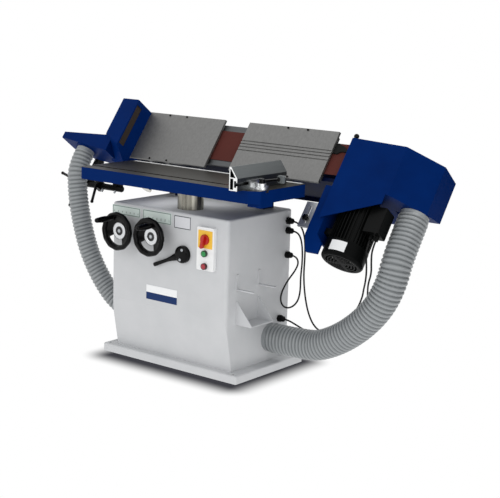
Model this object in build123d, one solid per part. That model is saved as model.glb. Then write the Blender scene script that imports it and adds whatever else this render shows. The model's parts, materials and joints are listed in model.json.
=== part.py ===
from build123d import *
import math
import os

# Edge sander with a tilting belt unit. +X runs along the belt, +Y to the back and +Z up.
# The origin is on the floor under the middle of the base. All sizes are in millimetres.

# Clearances
run_gap = 0.3
shaft_fit = 0.05
guide_gap = 0.2

# Base and cabinet
base_length = 823.0
base_depth = 514.0
base_height = 37.6
base_corner = 8.0
base_bevel = 4.0
anchor_inset_x = 29.0
anchor_inset_y = 20.0
anchor_hole_radius = 7.0
cabinet_width = 704.0
cabinet_depth = 480.0
cabinet_front = -264.0
cabinet_top = 741.0
knee_height = 279.0
toe_recess = 48.0
cabinet_wall = 5.0
cabinet_corner = 18.0
door_width = 570.0
door_bottom = 270.0
door_drop = 71.0
door_thickness = 3.0
door_overlap = 25.0

# Rack on the right wall
rack_front = -190.0
rack_back = -30.0
rack_reach = 90.0
rack_shelf_height = 256.0
rack_gusset_height = 106.0
rack_sheet = 5.0
rack_arm_height = 416.0
rack_arm_reach = 98.0
rack_arm_width = 16.0
rack_flange_height = 71.0

# Bare plates on the front
plate_thickness = 1.5
tilt_scale_x = -261.5
tilt_scale_drop = 34.5
tilt_scale_size = (177.0, 45.0)
lift_scale_x = -68.5
lift_scale_drop = 38.5
lift_scale_size = (175.0, 55.0)
square_plate_x = 86.0
square_plate_drop = 44.0
square_plate_size = (98.0, 58.0)
name_plate_x = -33.0
name_plate_rise = 63.5
name_plate_size = (190.0, 69.0)

# Switch box
switch_x = 237.0
switch_width = 98.0
switch_depth = 18.0
switch_wall = 3.0
switch_corner = 6.0
switch_head = 14.0
switch_foot = 5.0
isolator_drop = 98.0
isolator_plate_side = 80.0
isolator_plate_thickness = 2.5
isolator_knob_radius = 24.0
isolator_knob_depth = 8.0
isolator_grip_width = 13.0
isolator_grip_depth = 16.0
isolator_pointer = 32.0
isolator_spindle_radius = 5.0
isolator_rest_turn = 78.0
button_gap = 9.0
button_spacing = 58.0
button_radius = 12.5
button_travel = 4.0
button_shoulder_radius = 15.0
button_shoulder = 5.0
bezel_radius = 15.0
bezel_depth = 12.0

# Cable glands on the right wall
gland_y = 178.0
gland_drops = (52.0, 98.0, 214.0)
low_gland_y = 135.0
low_gland_height = 227.0
gland_nut_radius = 17.0
gland_nut_length = 12.0
gland_neck_radius = 12.0
gland_neck_length = 14.0

# Suction: hoses, inlets, manifold and rear outlet
inlet_height = 149.0
right_inlet_y = 66.0
left_inlet_y = -10.0
right_hose_radius = 70.0
right_hose_valley = 64.0
right_hose_bore = 60.0
left_hose_radius = 50.0
left_hose_valley = 45.5
left_hose_bore = 42.5
hose_pitch = 19.0
hose_cuff = 14.0
right_hose_lead = 200.0
right_hose_end = 230.0
left_hose_lead = 100.0
left_hose_end = 130.0
spigot_wall = 2.5
spigot_length = 60.0
guard_strip = 3.0
guard_strip_depth = 12.0
manifold_half_depth = 120.0
manifold_centre_y = 28.0
manifold_half_height = 80.0
manifold_wall = 2.0
outlet_x = -120.0
outlet_radius = 75.0
outlet_length = 60.0
outlet_flange_radius = 92.0
outlet_flange = 4.0

# Column, sleeve and table lift
column_x = 24.0
column_y = -137.0
column_radius = 61.0
column_bore = 40.0
column_below = 120.0
column_flange_radius = 92.0
column_flange = 16.0
sleeve_radius = 75.0
sleeve_below = 104.0
sleeve_flange_radius = 98.0
sleeve_flange = 12.0
top_hole_gap = 1.0
wheel_drop = 121.0
gear_module = 3.0
pinion_teeth = 14
pinion_width = 20.0
tooth_thinning = 0.7
tooth_slope = 0.364
rack_depth = 3.0
rack_below = 9
rack_above = 7
window_gap = 3.0
lock_x = 97.0
lock_drop = 67.0
lock_spindle_radius = 8.0
lock_lug_width = 34.0
lock_lug_depth = 48.0
lock_lug_height = 46.0
lock_hub_radius = 40.0
lock_hub_depth = 22.0
lock_arm_radius = 9.0
lock_arm_length = 186.0
lock_arm_angle = 203.2
lock_ball_radius = 10.0

# Handwheels
tilt_wheel_x = -253.0
wheel_radius = 90.0
wheel_rim_radius = 11.0
wheel_plane = -333.0
wheel_dish = 17.0
wheel_dial_radius = 37.0
wheel_hub_radius = 24.0
wheel_web = 8.0
wheel_window_inner = 40.0
wheel_window_outer = 66.0
wheel_window_angle = 80.0
wheel_window_middle = 268.0
shaft_radius = 12.0
bush_radius = 17.0
bush_flange_radius = 25.0
bush_flange = 8.0
bush_length = 60.0
lift_shaft_end = -122.0
tilt_shaft_end = -150.0
tilt_gear_radius = 32.0
tilt_gear_width = 14.0
crank_offset = 66.0
tilt_crank_angle = 115.0
lift_crank_angle = 62.0
crank_stud_radius = 5.0
crank_boss_radius = 12.0
crank_radius = 14.5
crank_base_radius = 12.0
crank_length = 106.0
crank_end = 6.0

# Table
table_left = -491.0
table_right = 560.0
table_front = -345.0
table_rear = 26.0
table_rise = 159.0
table_thickness = 57.0
table_plate = 22.0
table_rim = 20.0
table_rib = 16.0
table_corner = 20.0
near_corner_x = 45.0
near_corner_y = 33.0
table_boss_radius = 98.0
lug_length = 70.0
lug_depth = 86.0
lug_drop = 17.0
strip_width = 20.0
strip_thickness = 5.0
strip_proud = 0.5
slot_y = -268.0
slot_width = 20.0
slot_depth = 10.0

# Mitre gauge
fence_left = 453.0
fence_width = 43.0
fence_near = -395.0
fence_length = 353.0
fence_wall = 4.5
fence_slope_height = 54.0
fence_peak_height = 101.0
fence_peak_width = 9.0
fence_slot_mouth = 14.0
fence_slot_width = 28.0
fence_slot_depth = 17.0
fence_lip = 5.0
fence_slot_middle = 29.0
mitre_pivot_x = 530.0
mitre_pin_radius = 8.0
mitre_bar_left = 330.0
mitre_bar_right = 555.0
head_depth = 96.0
head_base = 12.0
head_upstand = 10.0
head_upstand_height = 42.0
head_boss_radius = 19.0
head_boss_height = 15.0
mitre_hub_radius = 13.0
mitre_hub_height = 18.0
mitre_arm_length = 100.0
mitre_arm_angle = 79.7
mitre_arm_radius = 6.0
mitre_ball_radius = 10.0

# Tilt: the axis lies along X at the rear edge of the table top; the unit leans back from upright.
# Sizes of the unit are given upright: x, b to the back from the axis and u up from it.
pivot_y = 30.0
lean = 36.5
quadrant_x = 250.0
quadrant_thickness = 24.0
quadrant_inner = 100.0
quadrant_outer = 140.0
quadrant_start = 40.0
quadrant_end = 118.0
shoe_cheek = 12.0
shoe_front = 95.0
shoe_back = 170.0
shoe_head_gap = 65.0
shoe_back_gap = 110.0
shoe_crown = 25.0

# Belt, drums and platen
belt_width = 160.0
belt_bottom = 71.0
belt_thickness = 2.0
drum_radius = 97.7
drum_width = 174.0
drum_wall = 10.0
drum_hub_radius = 34.0
drum_floor = 14.0
drive_x = 810.0
idler_x = -440.0
drum_b = 120.0
drum_bottom = 64.0
platen_left = -370.0
platen_right = 600.0
platen_front = 23.0
platen_thickness = 12.0
platen_bottom = 43.0
platen_height = 220.0
platen_arm = 50.0
platen_arm_height = 19.0

# Cover plates
cover_thickness = 12.0
cover_bottom = 14.4
cover_top = 280.0
left_cover = (-544.0, -48.0)
right_cover = (98.5, 610.0)
cover_grooves = (179.0, 163.0, 147.0, 129.0)
groove_width = 6.0
groove_depth = 4.0
cover_screw_xs = (-400.0, -290.0, 326.0, 438.0)
cover_screw_inset = 7.0
cover_screw_radius = 5.0
cover_screw_head = 3.0
spacer_width = 22.0
spacer_overlap = 22.0

# Tilt frame
rail_left = -600.0
rail_right = 905.0
rail_front = 35.0
rail_back = 205.0
rail_bottom = 42.0
rail_thickness = 18.0
spine_gap = 5.0
spine_thickness = 12.0
spine_height = 170.0
gusset_count = 5
gusset_thickness = 12.0
gusset_depth = 143.0
housing_radius = 60.0
housing_height = 24.0
drive_shaft_radius = 19.0
guard_left = -540.0
guard_right = 684.0
guard_b = 232.0
guard_sheet = 3.0
guard_bottom = 30.0
guard_top = 250.0
guard_flange_u = 50.0

# Idler tension slide
tension_travel = 15.0
slide_length = 130.0
slide_depth = 110.0
slide_thickness = 17.0
gib_width = 16.0
gib_lip = 10.0
gib_lip_thickness = 6.0
neck_radius = 28.0
idler_axle_radius = 20.0
idler_axle_top = 246.0
boss_radius = 24.0
boss_bottom = -95.0

# Right hood
hood_bottom = 15.0
hood_top = 258.0
hood_sheet = 3.0
hood_plan = ((688.0, 0.0), (955.0, 30.0), (1087.0, 175.0), (1080.0, 316.0), (700.0, 316.0))
hood_hole_radius = 30.0
hood_spigot_x = 1020.0
hood_spigot_b = 195.0
hood_lift_left = 930.0
hood_lift = 35.0

# Left dust hood
left_hood_left = -632.0
left_hood_right = -528.0
left_hood_front = -118.0
left_hood_top = 276.0
left_hood_sheet = 2.5
left_hood_fold_left = 69.0
left_hood_fold_right = 17.0
left_hood_foot_left = -20.0
left_hood_foot_right = -45.0
rear_box_right = -546.0
rear_box_back = 240.0
dust_slot = (-110.0, -70.0)
dust_slot_bottom = 30.0
dust_slot_top = 250.0
chute_left = -930.0
chute_right = -600.0
chute_front = -101.0
chute_back = 60.0
chute_left_top = 57.0
chute_right_top = 70.0
chute_left_bottom = 22.0
chute_right_bottom = -18.0
collar_x = -788.0
collar_b = -45.0
collar_height = 16.0
collar_lip = 2.0
collar_radius = 55.0

# Motor, its plate and the slotted bracket
motor_radius = 95.0
motor_core_radius = 80.0
motor_bottom = -222.0
motor_shoulder = -25.0
motor_nose_radius = 58.0
motor_fins = 36
fin_thickness = 3.0
motor_plate_left = 694.0
motor_plate_thickness = 12.0
motor_plate_front = 16.0
motor_plate_back = 220.0
motor_plate_bottom = -240.0
motor_flange_left = 645.0
motor_flange_right = 745.0
motor_flange_bottom = -315.0
motor_flange_cut_x = 39.0
motor_flange_cut_u = 80.0
motor_flange_ear = 50.0
gusset_sheet = 3.0
gusset_reach = 258.0
gusset_tip = 45.0
gusset_drop = 168.0
gusset_web = 150.0
foot_length = 120.0
foot_height = 28.0
foot_inset = 24.0
fan_cover_radius = 97.0
fan_cover_wall = 2.0
fan_cover_bottom = -300.0
fan_cover_lip = 14.0
fan_cover_rings = 5
fan_cover_slot = 7.0
fan_cover_spoke = 16.0
fan_radius = 80.0
fan_height = 22.0
fan_gap = 2.0
fan_blade = 4.0
fan_blades = 8
shaft_collar_radius = 27.0
shaft_top = 246.0
terminal_left = 890.0
terminal_right = 968.0
terminal_front = 56.0
terminal_back = 132.0
terminal_bottom = -158.0
terminal_top = -35.0
terminal_corner = 6.0
terminal_gland_xs = (918.0, 948.0)
terminal_gland_radius = 10.0
terminal_gland_length = 22.0
bracket_left = 578.0
bracket_right = 672.0
bracket_thickness = 12.0
bracket_bottom = -196.0
bracket_top = -72.0
bracket_slot_radius = 5.3
bracket_slot_x = 609.0
bracket_slot_inset = 20.0
bracket_knob_u = -155.0
bracket_knob_radius = 16.0
bracket_knob_depth = 18.0
bracket_stud_radius = 5.0
bracket_stud_end = 48.0

# Rail behind the left hose, with its clamps and levers
end_rail_left = -925.0
end_rail_right = -590.0
end_rail_b = 115.0
end_rail_u = -115.0
end_rail_radius = 16.0
end_clamp_half = 22.0
end_rail_round = 6.0
rail_bracket_width = 28.0
rail_bracket_inset = 30.0
rail_bracket_foot = 12.0
rail_bracket_pad = 28.0
rail_arm_x = -835.0
rail_arm_width = 26.0
rail_arm_u = 27.0
rail_arm_thickness = 14.0
lever_clamp_x = -748.0
lever_clamp_width = 30.0
lever_hub_radius = 12.0
lever_hub_depth = 14.0
lever_pin_radius = 6.0
front_lever_length = 110.0
front_lever_angle = 285.0
lever_arm_radius = 7.0
lever_ball_radius = 8.5
end_clamp_width = 32.0
end_lever_up = 107.0
end_lever_up_angle = 166.0
end_lever_down = 157.0
end_lever_down_angle = 291.0
rail_bolt_xs = (-723.0, -632.0)
rail_bolt_radius = 5.0
rail_bolt_length = 12.0

# Cables
cable_radius = 4.0
cable_lead = 45.0
gland_lead = 30.0
return_lead = 29.0
low_gland_lead = 28.0

half_cabinet = cabinet_width / 2
cabinet_back = cabinet_front + cabinet_depth
table_height = cabinet_top + table_rise
table_under = table_height - table_thickness
pivot_z = table_height
wheel_height = cabinet_top - wheel_drop
lock_height = wheel_height - lock_drop
isolator_height = cabinet_top - isolator_drop
start_height = isolator_height - isolator_plate_side / 2 - button_gap - bezel_radius
stop_height = start_height - button_spacing
gland_heights = [cabinet_top - drop for drop in gland_drops]
column_bottom = wheel_height - column_below
sleeve_bottom = wheel_height - sleeve_below
pinion_radius = gear_module * pinion_teeth / 2
lift_wheel_x = column_x - column_radius + rack_depth - pinion_radius
tooth_pitch = math.pi * gear_module
belt_radius = drum_radius + run_gap + belt_thickness
rail_top = rail_bottom + rail_thickness
slide_top = rail_bottom - run_gap
slide_bottom = slide_top - slide_thickness
spine_left = idler_x + drum_radius + tension_travel + spine_gap
tilt_place = Pos(0, pivot_y, pivot_z) * Rot(-lean, 0, 0)
os.makedirs("parts", exist_ok=True)


def block(x, y, z):
    """A box between three pairs of limits."""
    size = Box(x[1] - x[0], y[1] - y[0], z[1] - z[0])
    return Pos((x[0] + x[1]) / 2, (y[0] + y[1]) / 2, (z[0] + z[1]) / 2) * size


def along_x(y, z, radius, span):
    """A cylinder along X."""
    turned = Rot(0, 90, 0) * Cylinder(radius, span[1] - span[0])
    return Pos((span[0] + span[1]) / 2, y, z) * turned


def along_y(x, z, radius, span):
    """A cylinder along Y."""
    turned = Rot(90, 0, 0) * Cylinder(radius, span[1] - span[0])
    return Pos(x, (span[0] + span[1]) / 2, z) * turned


def along_z(x, y, radius, span):
    """A cylinder along Z."""
    return Pos(x, y, (span[0] + span[1]) / 2) * Cylinder(radius, span[1] - span[0])


def prism_x(points, span):
    """A prism along X from points in Y and Z."""
    face = Plane.YZ.offset(span[0]) * make_face(Polyline(*points, close=True))
    return extrude(face, amount=span[1] - span[0], dir=(1, 0, 0))


def prism_y(points, span):
    """A prism along Y from points in X and Z."""
    face = Plane.XZ.offset(-span[0]) * make_face(Polyline(*points, close=True))
    return extrude(face, amount=span[1] - span[0], dir=(0, 1, 0))


def prism_z(points, span):
    """A prism along Z from points in X and Y."""
    face = Plane.XY.offset(span[0]) * make_face(Polyline(*points, close=True))
    return extrude(face, amount=span[1] - span[0], dir=(0, 0, 1))


def rod(start, end, radius):
    """A cylinder from one point to another."""
    way = Vector(*end) - Vector(*start)
    plane = Plane(origin=start, z_dir=way)
    return plane * extrude(Circle(radius), amount=way.length)


def turned_y(profile, x, z):
    """A body turned round an axis along Y; the profile holds pairs of radius and y."""
    face = make_face(Polyline(*[(r, y, 0) for r, y in profile], close=True))
    return Pos(x, 0, z) * revolve(face, axis=Axis.Y)


def frustum(left, right, span):
    """A solid between two outlines in Y and Z, at the two ends of a span along X."""
    first = Plane.YZ.offset(span[0]) * make_face(Polyline(*left, close=True))
    last = Plane.YZ.offset(span[1]) * make_face(Polyline(*right, close=True))
    return loft([first, last], ruled=True)


def sector(inner, outer, start, end):
    """A flat piece of a ring; angles are in degrees from the local x axis."""
    def spot(radius, angle):
        return (radius * math.cos(math.radians(angle)), radius * math.sin(math.radians(angle)))
    middle = (start + end) / 2
    out_arc = ThreePointArc(spot(outer, start), spot(outer, middle), spot(outer, end))
    in_arc = ThreePointArc(spot(inner, end), spot(inner, middle), spot(inner, start))
    sides = [Line(spot(outer, end), spot(inner, end)), Line(spot(inner, start), spot(outer, start))]
    return make_face([out_arc, in_arc] + sides)


def group(*shapes):
    """Separate solids that make one node."""
    return Compound([solid for shape in shapes for solid in shape.solids()])


def save(name, shape):
    """Write one node."""
    export_step(shape, "parts/" + name + ".step")


def tilted(name, shape):
    """Write one node of the tilt unit, leaning as it rests."""
    save(name, tilt_place * shape)


def at_rest(x, b, u):
    """A point of the tilt unit as it rests."""
    turn = math.radians(lean)
    y = pivot_y + u * math.sin(turn) + b * math.cos(turn)
    z = pivot_z + u * math.cos(turn) - b * math.sin(turn)
    return (x, y, z)


# Base: a plinth with a ledge all round for the floor anchors
anchor_x = base_length / 2 - anchor_inset_x
anchor_y = base_depth / 2 - anchor_inset_y
base = block((-base_length / 2, base_length / 2), (-base_depth / 2, base_depth / 2), (0, base_height))
base = fillet(base.edges().filter_by(Axis.Z), base_corner)
base = chamfer(base.faces().sort_by(Axis.Z)[-1].edges(), base_bevel)
for sx in (-1, 1):
    for sy in (-1, 1):
        base -= along_z(sx * anchor_x, sy * anchor_y, anchor_hole_radius, (-1, base_height + 1))
save("base_frame", base)

# Cabinet: folded sheet, rounded upright corners, front drawn back below the knee
toe_slope = toe_recess / (knee_height - base_height)


def cabinet_form(inset, low):
    """The cabinet's outside, or its inside at a sheet's thickness within."""
    plan = RectangleRounded(cabinet_width - 2 * inset, cabinet_depth - 2 * inset, cabinet_corner - inset)
    middle = cabinet_front + cabinet_depth / 2
    form = Pos(0, middle, low) * extrude(plan, amount=cabinet_top - inset - low)
    form = fillet(form.faces().sort_by(Axis.Z)[-1].edges(), (cabinet_corner - inset) / 2)
    front = cabinet_front + inset
    toe = front + toe_slope * (knee_height - low)
    outside = front - cabinet_corner
    foot = low - inset - 1
    cut = ((outside, knee_height), (front, knee_height), (toe, low), (toe, foot), (outside, foot))
    return form - prism_x(cut, (-cabinet_width, cabinet_width))


cabinet = cabinet_form(0, base_height)
cabinet -= cabinet_form(cabinet_wall, base_height - cabinet_wall)
front_span = (cabinet_front - 1, cabinet_front + cabinet_wall + 1)
for wheel_x in (lift_wheel_x, tilt_wheel_x):
    cabinet -= along_y(wheel_x, wheel_height, bush_radius, front_span)
cabinet -= along_y(lock_x, lock_height, lock_spindle_radius + run_gap, front_span)
top_span = (cabinet_top - cabinet_wall - 1, cabinet_top + 1)
cabinet -= along_z(column_x, column_y, column_radius + top_hole_gap, top_span)
right_spigot_radius = right_hose_bore - run_gap
left_spigot_radius = left_hose_bore - run_gap
right_span = (half_cabinet - cabinet_wall - 1, half_cabinet + 1)
left_span = (-half_cabinet - 1, -half_cabinet + cabinet_wall + 1)
cabinet -= along_x(right_inlet_y, inlet_height, right_spigot_radius, right_span)
cabinet -= along_x(left_inlet_y, inlet_height, left_spigot_radius, left_span)
back_span = (cabinet_back - cabinet_wall - 1, cabinet_back + 1)
cabinet -= along_y(outlet_x, inlet_height, outlet_radius, back_span)
door_half = door_width / 2
door_top = cabinet_top - door_drop
gap_half = door_half - door_overlap
cabinet -= block((-gap_half, gap_half), back_span, (door_bottom + door_overlap, door_top - door_overlap))
save("cabinet_shell", cabinet)

door_y = (cabinet_back, cabinet_back + door_thickness)
door = block((-door_half, door_half), door_y, (door_bottom, door_top))
save("rear_door", fillet(door.edges().filter_by(Axis.Y), door_overlap / 2))

# Rack on the right wall: a shelf between two gussets, and two arms above it
shelf_top = rack_shelf_height + rack_sheet
rack_end = half_cabinet + rack_reach
rack_y = (rack_front - rack_sheet / 2, rack_back + rack_sheet / 2)
rack = block((half_cabinet, rack_end), rack_y, (rack_shelf_height, shelf_top))
gusset_top = shelf_top + rack_gusset_height
for side in (rack_front, rack_back):
    corners = ((half_cabinet, shelf_top), (half_cabinet, gusset_top), (rack_end, shelf_top))
    rack += prism_y(corners, (side - rack_sheet / 2, side + rack_sheet / 2))
arms = []
for side in (rack_front, rack_back):
    width = (side - rack_arm_width / 2, side + rack_arm_width / 2)
    lip = (rack_arm_height, rack_arm_height + rack_flange_height)
    arm = block((half_cabinet, half_cabinet + rack_sheet), width, lip)
    reach = (half_cabinet, half_cabinet + rack_arm_reach)
    arm += block(reach, width, (rack_arm_height, rack_arm_height + rack_sheet))
    arms.append(arm)
save("side_rack", group(rack, *arms))

# Bare plates on the front wall
plates = []
plate_list = (
    (tilt_scale_x, cabinet_top - tilt_scale_drop, tilt_scale_size),
    (lift_scale_x, cabinet_top - lift_scale_drop, lift_scale_size),
    (square_plate_x, cabinet_top - square_plate_drop, square_plate_size),
    (name_plate_x, knee_height + name_plate_rise, name_plate_size),
)
for middle_x, middle_z, size in plate_list:
    px = (middle_x - size[0] / 2, middle_x + size[0] / 2)
    pz = (middle_z - size[1] / 2, middle_z + size[1] / 2)
    plates.append(block(px, (cabinet_front - plate_thickness, cabinet_front), pz))
save("front_plates", group(*plates))

# Switch box with its bezels, isolator plate, isolator knob and two push buttons
switch_front = cabinet_front - switch_depth
switch_half = switch_width / 2
plate_half = isolator_plate_side / 2
switch_z = (stop_height - bezel_radius - switch_foot, isolator_height + plate_half + switch_head)
box_form = block((switch_x - switch_half, switch_x + switch_half), (switch_front, cabinet_front), switch_z)
box_form = fillet(box_form.edges().filter_by(Axis.Y), switch_corner)
hollow_x = (switch_x - switch_half + switch_wall, switch_x + switch_half - switch_wall)
hollow_z = (switch_z[0] + switch_wall, switch_z[1] - switch_wall)
box_form -= block(hollow_x, (switch_front + switch_wall, cabinet_front + 1), hollow_z)
face_cut = (switch_front - bezel_depth - 1, switch_front + switch_wall + 1)
for height in (start_height, stop_height):
    box_form += along_y(switch_x, height, bezel_radius, (switch_front - bezel_depth, switch_front))
    box_form -= along_y(switch_x, height, button_radius + run_gap, face_cut)
box_form -= along_y(switch_x, isolator_height, isolator_spindle_radius + shaft_fit, face_cut)
save("switch_box", box_form)

plate_front = switch_front - isolator_plate_thickness
plate_z = (isolator_height - plate_half, isolator_height + plate_half)
isolator = block((switch_x - plate_half, switch_x + plate_half), (plate_front, switch_front), plate_z)
plate_cut = (plate_front - 1, switch_front + 1)
isolator -= along_y(switch_x, isolator_height, isolator_spindle_radius + run_gap, plate_cut)
save("isolator_plate", isolator)

knob_back = plate_front - run_gap
knob_front = knob_back - isolator_knob_depth
grip_front = knob_front - isolator_grip_depth
knob = along_y(0, 0, isolator_knob_radius, (knob_front, knob_back))
grip_half = isolator_grip_width / 2
grip_x = (-isolator_pointer, isolator_knob_radius)
knob += block(grip_x, (grip_front, knob_front), (-grip_half, grip_half))
knob += along_y(0, 0, isolator_spindle_radius, (knob_back, switch_front + 2 * switch_wall))
save("isolator_knob", Pos(switch_x, 0, isolator_height) * Rot(0, -isolator_rest_turn, 0) * knob)

inner_face = switch_front + switch_wall
for name, height in (("start_button", start_height), ("stop_button", stop_height)):
    button_front = switch_front - bezel_depth - button_travel
    button = along_y(switch_x, height, button_radius, (button_front, inner_face + run_gap))
    shoulder = (inner_face + run_gap, inner_face + run_gap + button_shoulder)
    button += along_y(switch_x, height, button_shoulder_radius, shoulder)
    save(name, button)

# Cable glands
glands = []
gland_spots = [(gland_y, height) for height in gland_heights] + [(low_gland_y, low_gland_height)]
gland_mid = half_cabinet + gland_nut_length
gland_end = gland_mid + gland_neck_length
for spot_y, spot_z in gland_spots:
    hexagon = Plane.YZ.offset(half_cabinet) * Pos(spot_y, spot_z) * RegularPolygon(gland_nut_radius, 6)
    gland = extrude(hexagon, amount=gland_nut_length, dir=(1, 0, 0))
    glands.append(gland + along_x(spot_y, spot_z, gland_neck_radius, (gland_mid, gland_end)))
save("cable_glands", group(*glands))

# Hose inlets, manifold inside the cabinet and the outlet at the rear
inner_wall = half_cabinet - cabinet_wall
inlet_tip = half_cabinet + spigot_length
right_inlet = along_x(right_inlet_y, inlet_height, right_spigot_radius, (inner_wall, inlet_tip))
right_inlet -= along_x(right_inlet_y, inlet_height, right_spigot_radius - spigot_wall, (0, base_length))
left_inlet = along_x(left_inlet_y, inlet_height, left_spigot_radius, (-inlet_tip, -inner_wall))
left_inlet -= along_x(left_inlet_y, inlet_height, left_spigot_radius - spigot_wall, (-base_length, 0))
half_strip = guard_strip / 2
for sign in (-1, 1):
    strip_x = sorted((sign * half_cabinet, sign * (half_cabinet + guard_strip_depth)))
    middle = right_inlet_y if sign > 0 else left_inlet_y
    span = (right_spigot_radius if sign > 0 else left_spigot_radius) - spigot_wall / 2
    level = block(strip_x, (middle - span, middle + span), (inlet_height - half_strip, inlet_height + half_strip))
    upright_z = (inlet_height - span, inlet_height + span)
    guard_cross = level + block(strip_x, (middle - half_strip, middle + half_strip), upright_z)
    if sign > 0:
        right_inlet += guard_cross
    else:
        left_inlet += guard_cross
save("hose_inlets", group(right_inlet, left_inlet))

duct_y = (manifold_centre_y - manifold_half_depth, manifold_centre_y + manifold_half_depth)
duct_z = (inlet_height - manifold_half_height, inlet_height + manifold_half_height)
manifold = block((-inner_wall, inner_wall), duct_y, duct_z)
manifold -= block(
    (-inner_wall + manifold_wall, inner_wall - manifold_wall),
    (duct_y[0] + manifold_wall, duct_y[1] - manifold_wall),
    (duct_z[0] + manifold_wall, duct_z[1] - manifold_wall),
)
manifold -= along_x(right_inlet_y, inlet_height, right_spigot_radius - spigot_wall, (0, inner_wall + 1))
manifold -= along_x(left_inlet_y, inlet_height, left_spigot_radius - spigot_wall, (-inner_wall - 1, 0))
manifold -= along_y(outlet_x, inlet_height, outlet_radius - spigot_wall, (manifold_centre_y, duct_y[1] + 1))
save("dust_manifold", manifold)

outlet = along_y(outlet_x, inlet_height, outlet_radius, (duct_y[1], cabinet_back + outlet_length))
flange_y = (cabinet_back, cabinet_back + outlet_flange)
outlet += along_y(outlet_x, inlet_height, outlet_flange_radius, flange_y)
outlet -= along_y(outlet_x, inlet_height, outlet_radius - spigot_wall, (manifold_centre_y, base_depth))
save("dust_outlet", outlet)

# Column: ground, with a toothed rack cut in its left side
column = along_z(column_x, column_y, column_radius, (column_bottom, table_under))
column += along_z(column_x, column_y, column_flange_radius, (table_under - column_flange, table_under))
column -= along_z(column_x, column_y, column_bore, (column_bottom - 1, table_under - 2 * column_flange))
pitch_line = column_x - column_radius + rack_depth
gap_half_width = tooth_pitch / 4
root_x = pitch_line + 1.25 * gear_module
out_x = pitch_line - 3 * gear_module
chord = (column_y - column_radius, column_y + column_radius)
for step in range(-rack_below, rack_above + 1):
    z = wheel_height + step * tooth_pitch
    low = gap_half_width - 1.25 * gear_module * tooth_slope
    high = gap_half_width + 3 * gear_module * tooth_slope
    groove = ((root_x, z - low), (root_x, z + low), (out_x, z + high), (out_x, z - high))
    column -= prism_y(groove, chord)
save("table_column", column)

# Sleeve that guides the column, with the pinion's window and the lug of the lock
ceiling = cabinet_top - cabinet_wall
sleeve = along_z(column_x, column_y, sleeve_radius, (sleeve_bottom, ceiling))
sleeve += along_z(column_x, column_y, sleeve_flange_radius, (ceiling - sleeve_flange, ceiling))
lug_x = (column_x + column_radius, lock_x + lock_lug_width / 2 + lock_spindle_radius / 2)
lug_y = (column_y - lock_lug_depth / 2, column_y + lock_lug_depth / 2)
lug_z = (lock_height - lock_lug_height / 2, lock_height + lock_lug_height / 2)
sleeve += block(lug_x, lug_y, lug_z)
sleeve -= along_z(column_x, column_y, column_radius + shaft_fit, (sleeve_bottom - 1, ceiling + 1))
lug_cut = (lug_y[0] - lock_lug_depth, lug_y[1] + 1)
sleeve -= along_y(lock_x, lock_height, lock_spindle_radius + shaft_fit, lug_cut)
window_half = pinion_radius + gear_module + window_gap
window_depth = sleeve_radius / 2
window_x = (column_x - sleeve_radius - 1, column_x - column_radius / 2)
window_z = (wheel_height - window_half, wheel_height + window_half)
sleeve -= block(window_x, (column_y - window_depth, column_y + window_depth), window_z)
save("column_sleeve", sleeve)

# Bushes of the two handwheel shafts
bushes = []
for wheel_x in (lift_wheel_x, tilt_wheel_x):
    bush = along_y(wheel_x, wheel_height, bush_radius, (cabinet_front, cabinet_front + bush_length))
    bush += along_y(wheel_x, wheel_height, bush_flange_radius, (cabinet_front - bush_flange, cabinet_front))
    bush -= along_y(wheel_x, wheel_height, shaft_radius + shaft_fit, (wheel_plane, 0))
    bushes.append(bush)
save("shaft_bushes", group(*bushes))

# Handwheels: a dished web with a window, a round rim, a dial at the middle, a long hub and the crank's stud
hub_back = cabinet_front - bush_flange - run_gap
rim_circle = wheel_radius - wheel_rim_radius
dial_front = wheel_plane + wheel_dish
dial_back = dial_front + wheel_web
web_front = wheel_plane - wheel_web / 2
web_back = wheel_plane + wheel_web / 2
crank_foot = wheel_plane - wheel_rim_radius - run_gap
crank_tip = crank_foot - crank_length
stud_tip = crank_tip + crank_end + run_gap


def handwheel(crank_angle):
    """A handwheel on an axis along Y through the origin."""
    wheel = Rot(90, 0, 0) * Torus(rim_circle, wheel_rim_radius)
    wheel = Pos(0, wheel_plane, 0) * wheel
    inner = wheel_hub_radius
    dish = ((inner, dial_front), (rim_circle, web_front), (rim_circle, web_back), (inner, dial_back))
    web = turned_y(dish, 0, 0)
    start = wheel_window_middle - wheel_window_angle / 2
    hole = sector(wheel_window_inner, wheel_window_outer, start, start + wheel_window_angle)
    hole = Plane.XZ.offset(-web_front + wheel_web) * hole
    web -= extrude(hole, amount=wheel_dish + 3 * wheel_web, dir=(0, 1, 0))
    wheel += web
    wheel += along_y(0, 0, wheel_dial_radius, (dial_front, dial_back))
    wheel += along_y(0, 0, wheel_hub_radius, (dial_front, hub_back))
    turn = math.radians(crank_angle)
    x = crank_offset * math.cos(turn)
    z = crank_offset * math.sin(turn)
    wheel += along_y(x, z, crank_boss_radius, (crank_foot + run_gap, wheel_plane + wheel_dish / 2))
    wheel += along_y(x, z, crank_stud_radius, (stud_tip, wheel_plane))
    return wheel - along_y(0, 0, shaft_radius, (dial_back, 0))


def crank(crank_angle):
    """A turning grip on the stud of a handwheel at the origin."""
    turn = math.radians(crank_angle)
    belly = (crank_foot + crank_tip) / 2
    outline = (
        (0, crank_tip),
        (crank_base_radius, crank_tip),
        (crank_radius, belly),
        (crank_base_radius, crank_foot),
        (crank_stud_radius + shaft_fit, crank_foot),
        (crank_stud_radius + shaft_fit, crank_tip + crank_end),
        (0, crank_tip + crank_end),
    )
    return turned_y(outline, crank_offset * math.cos(turn), crank_offset * math.sin(turn))


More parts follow.
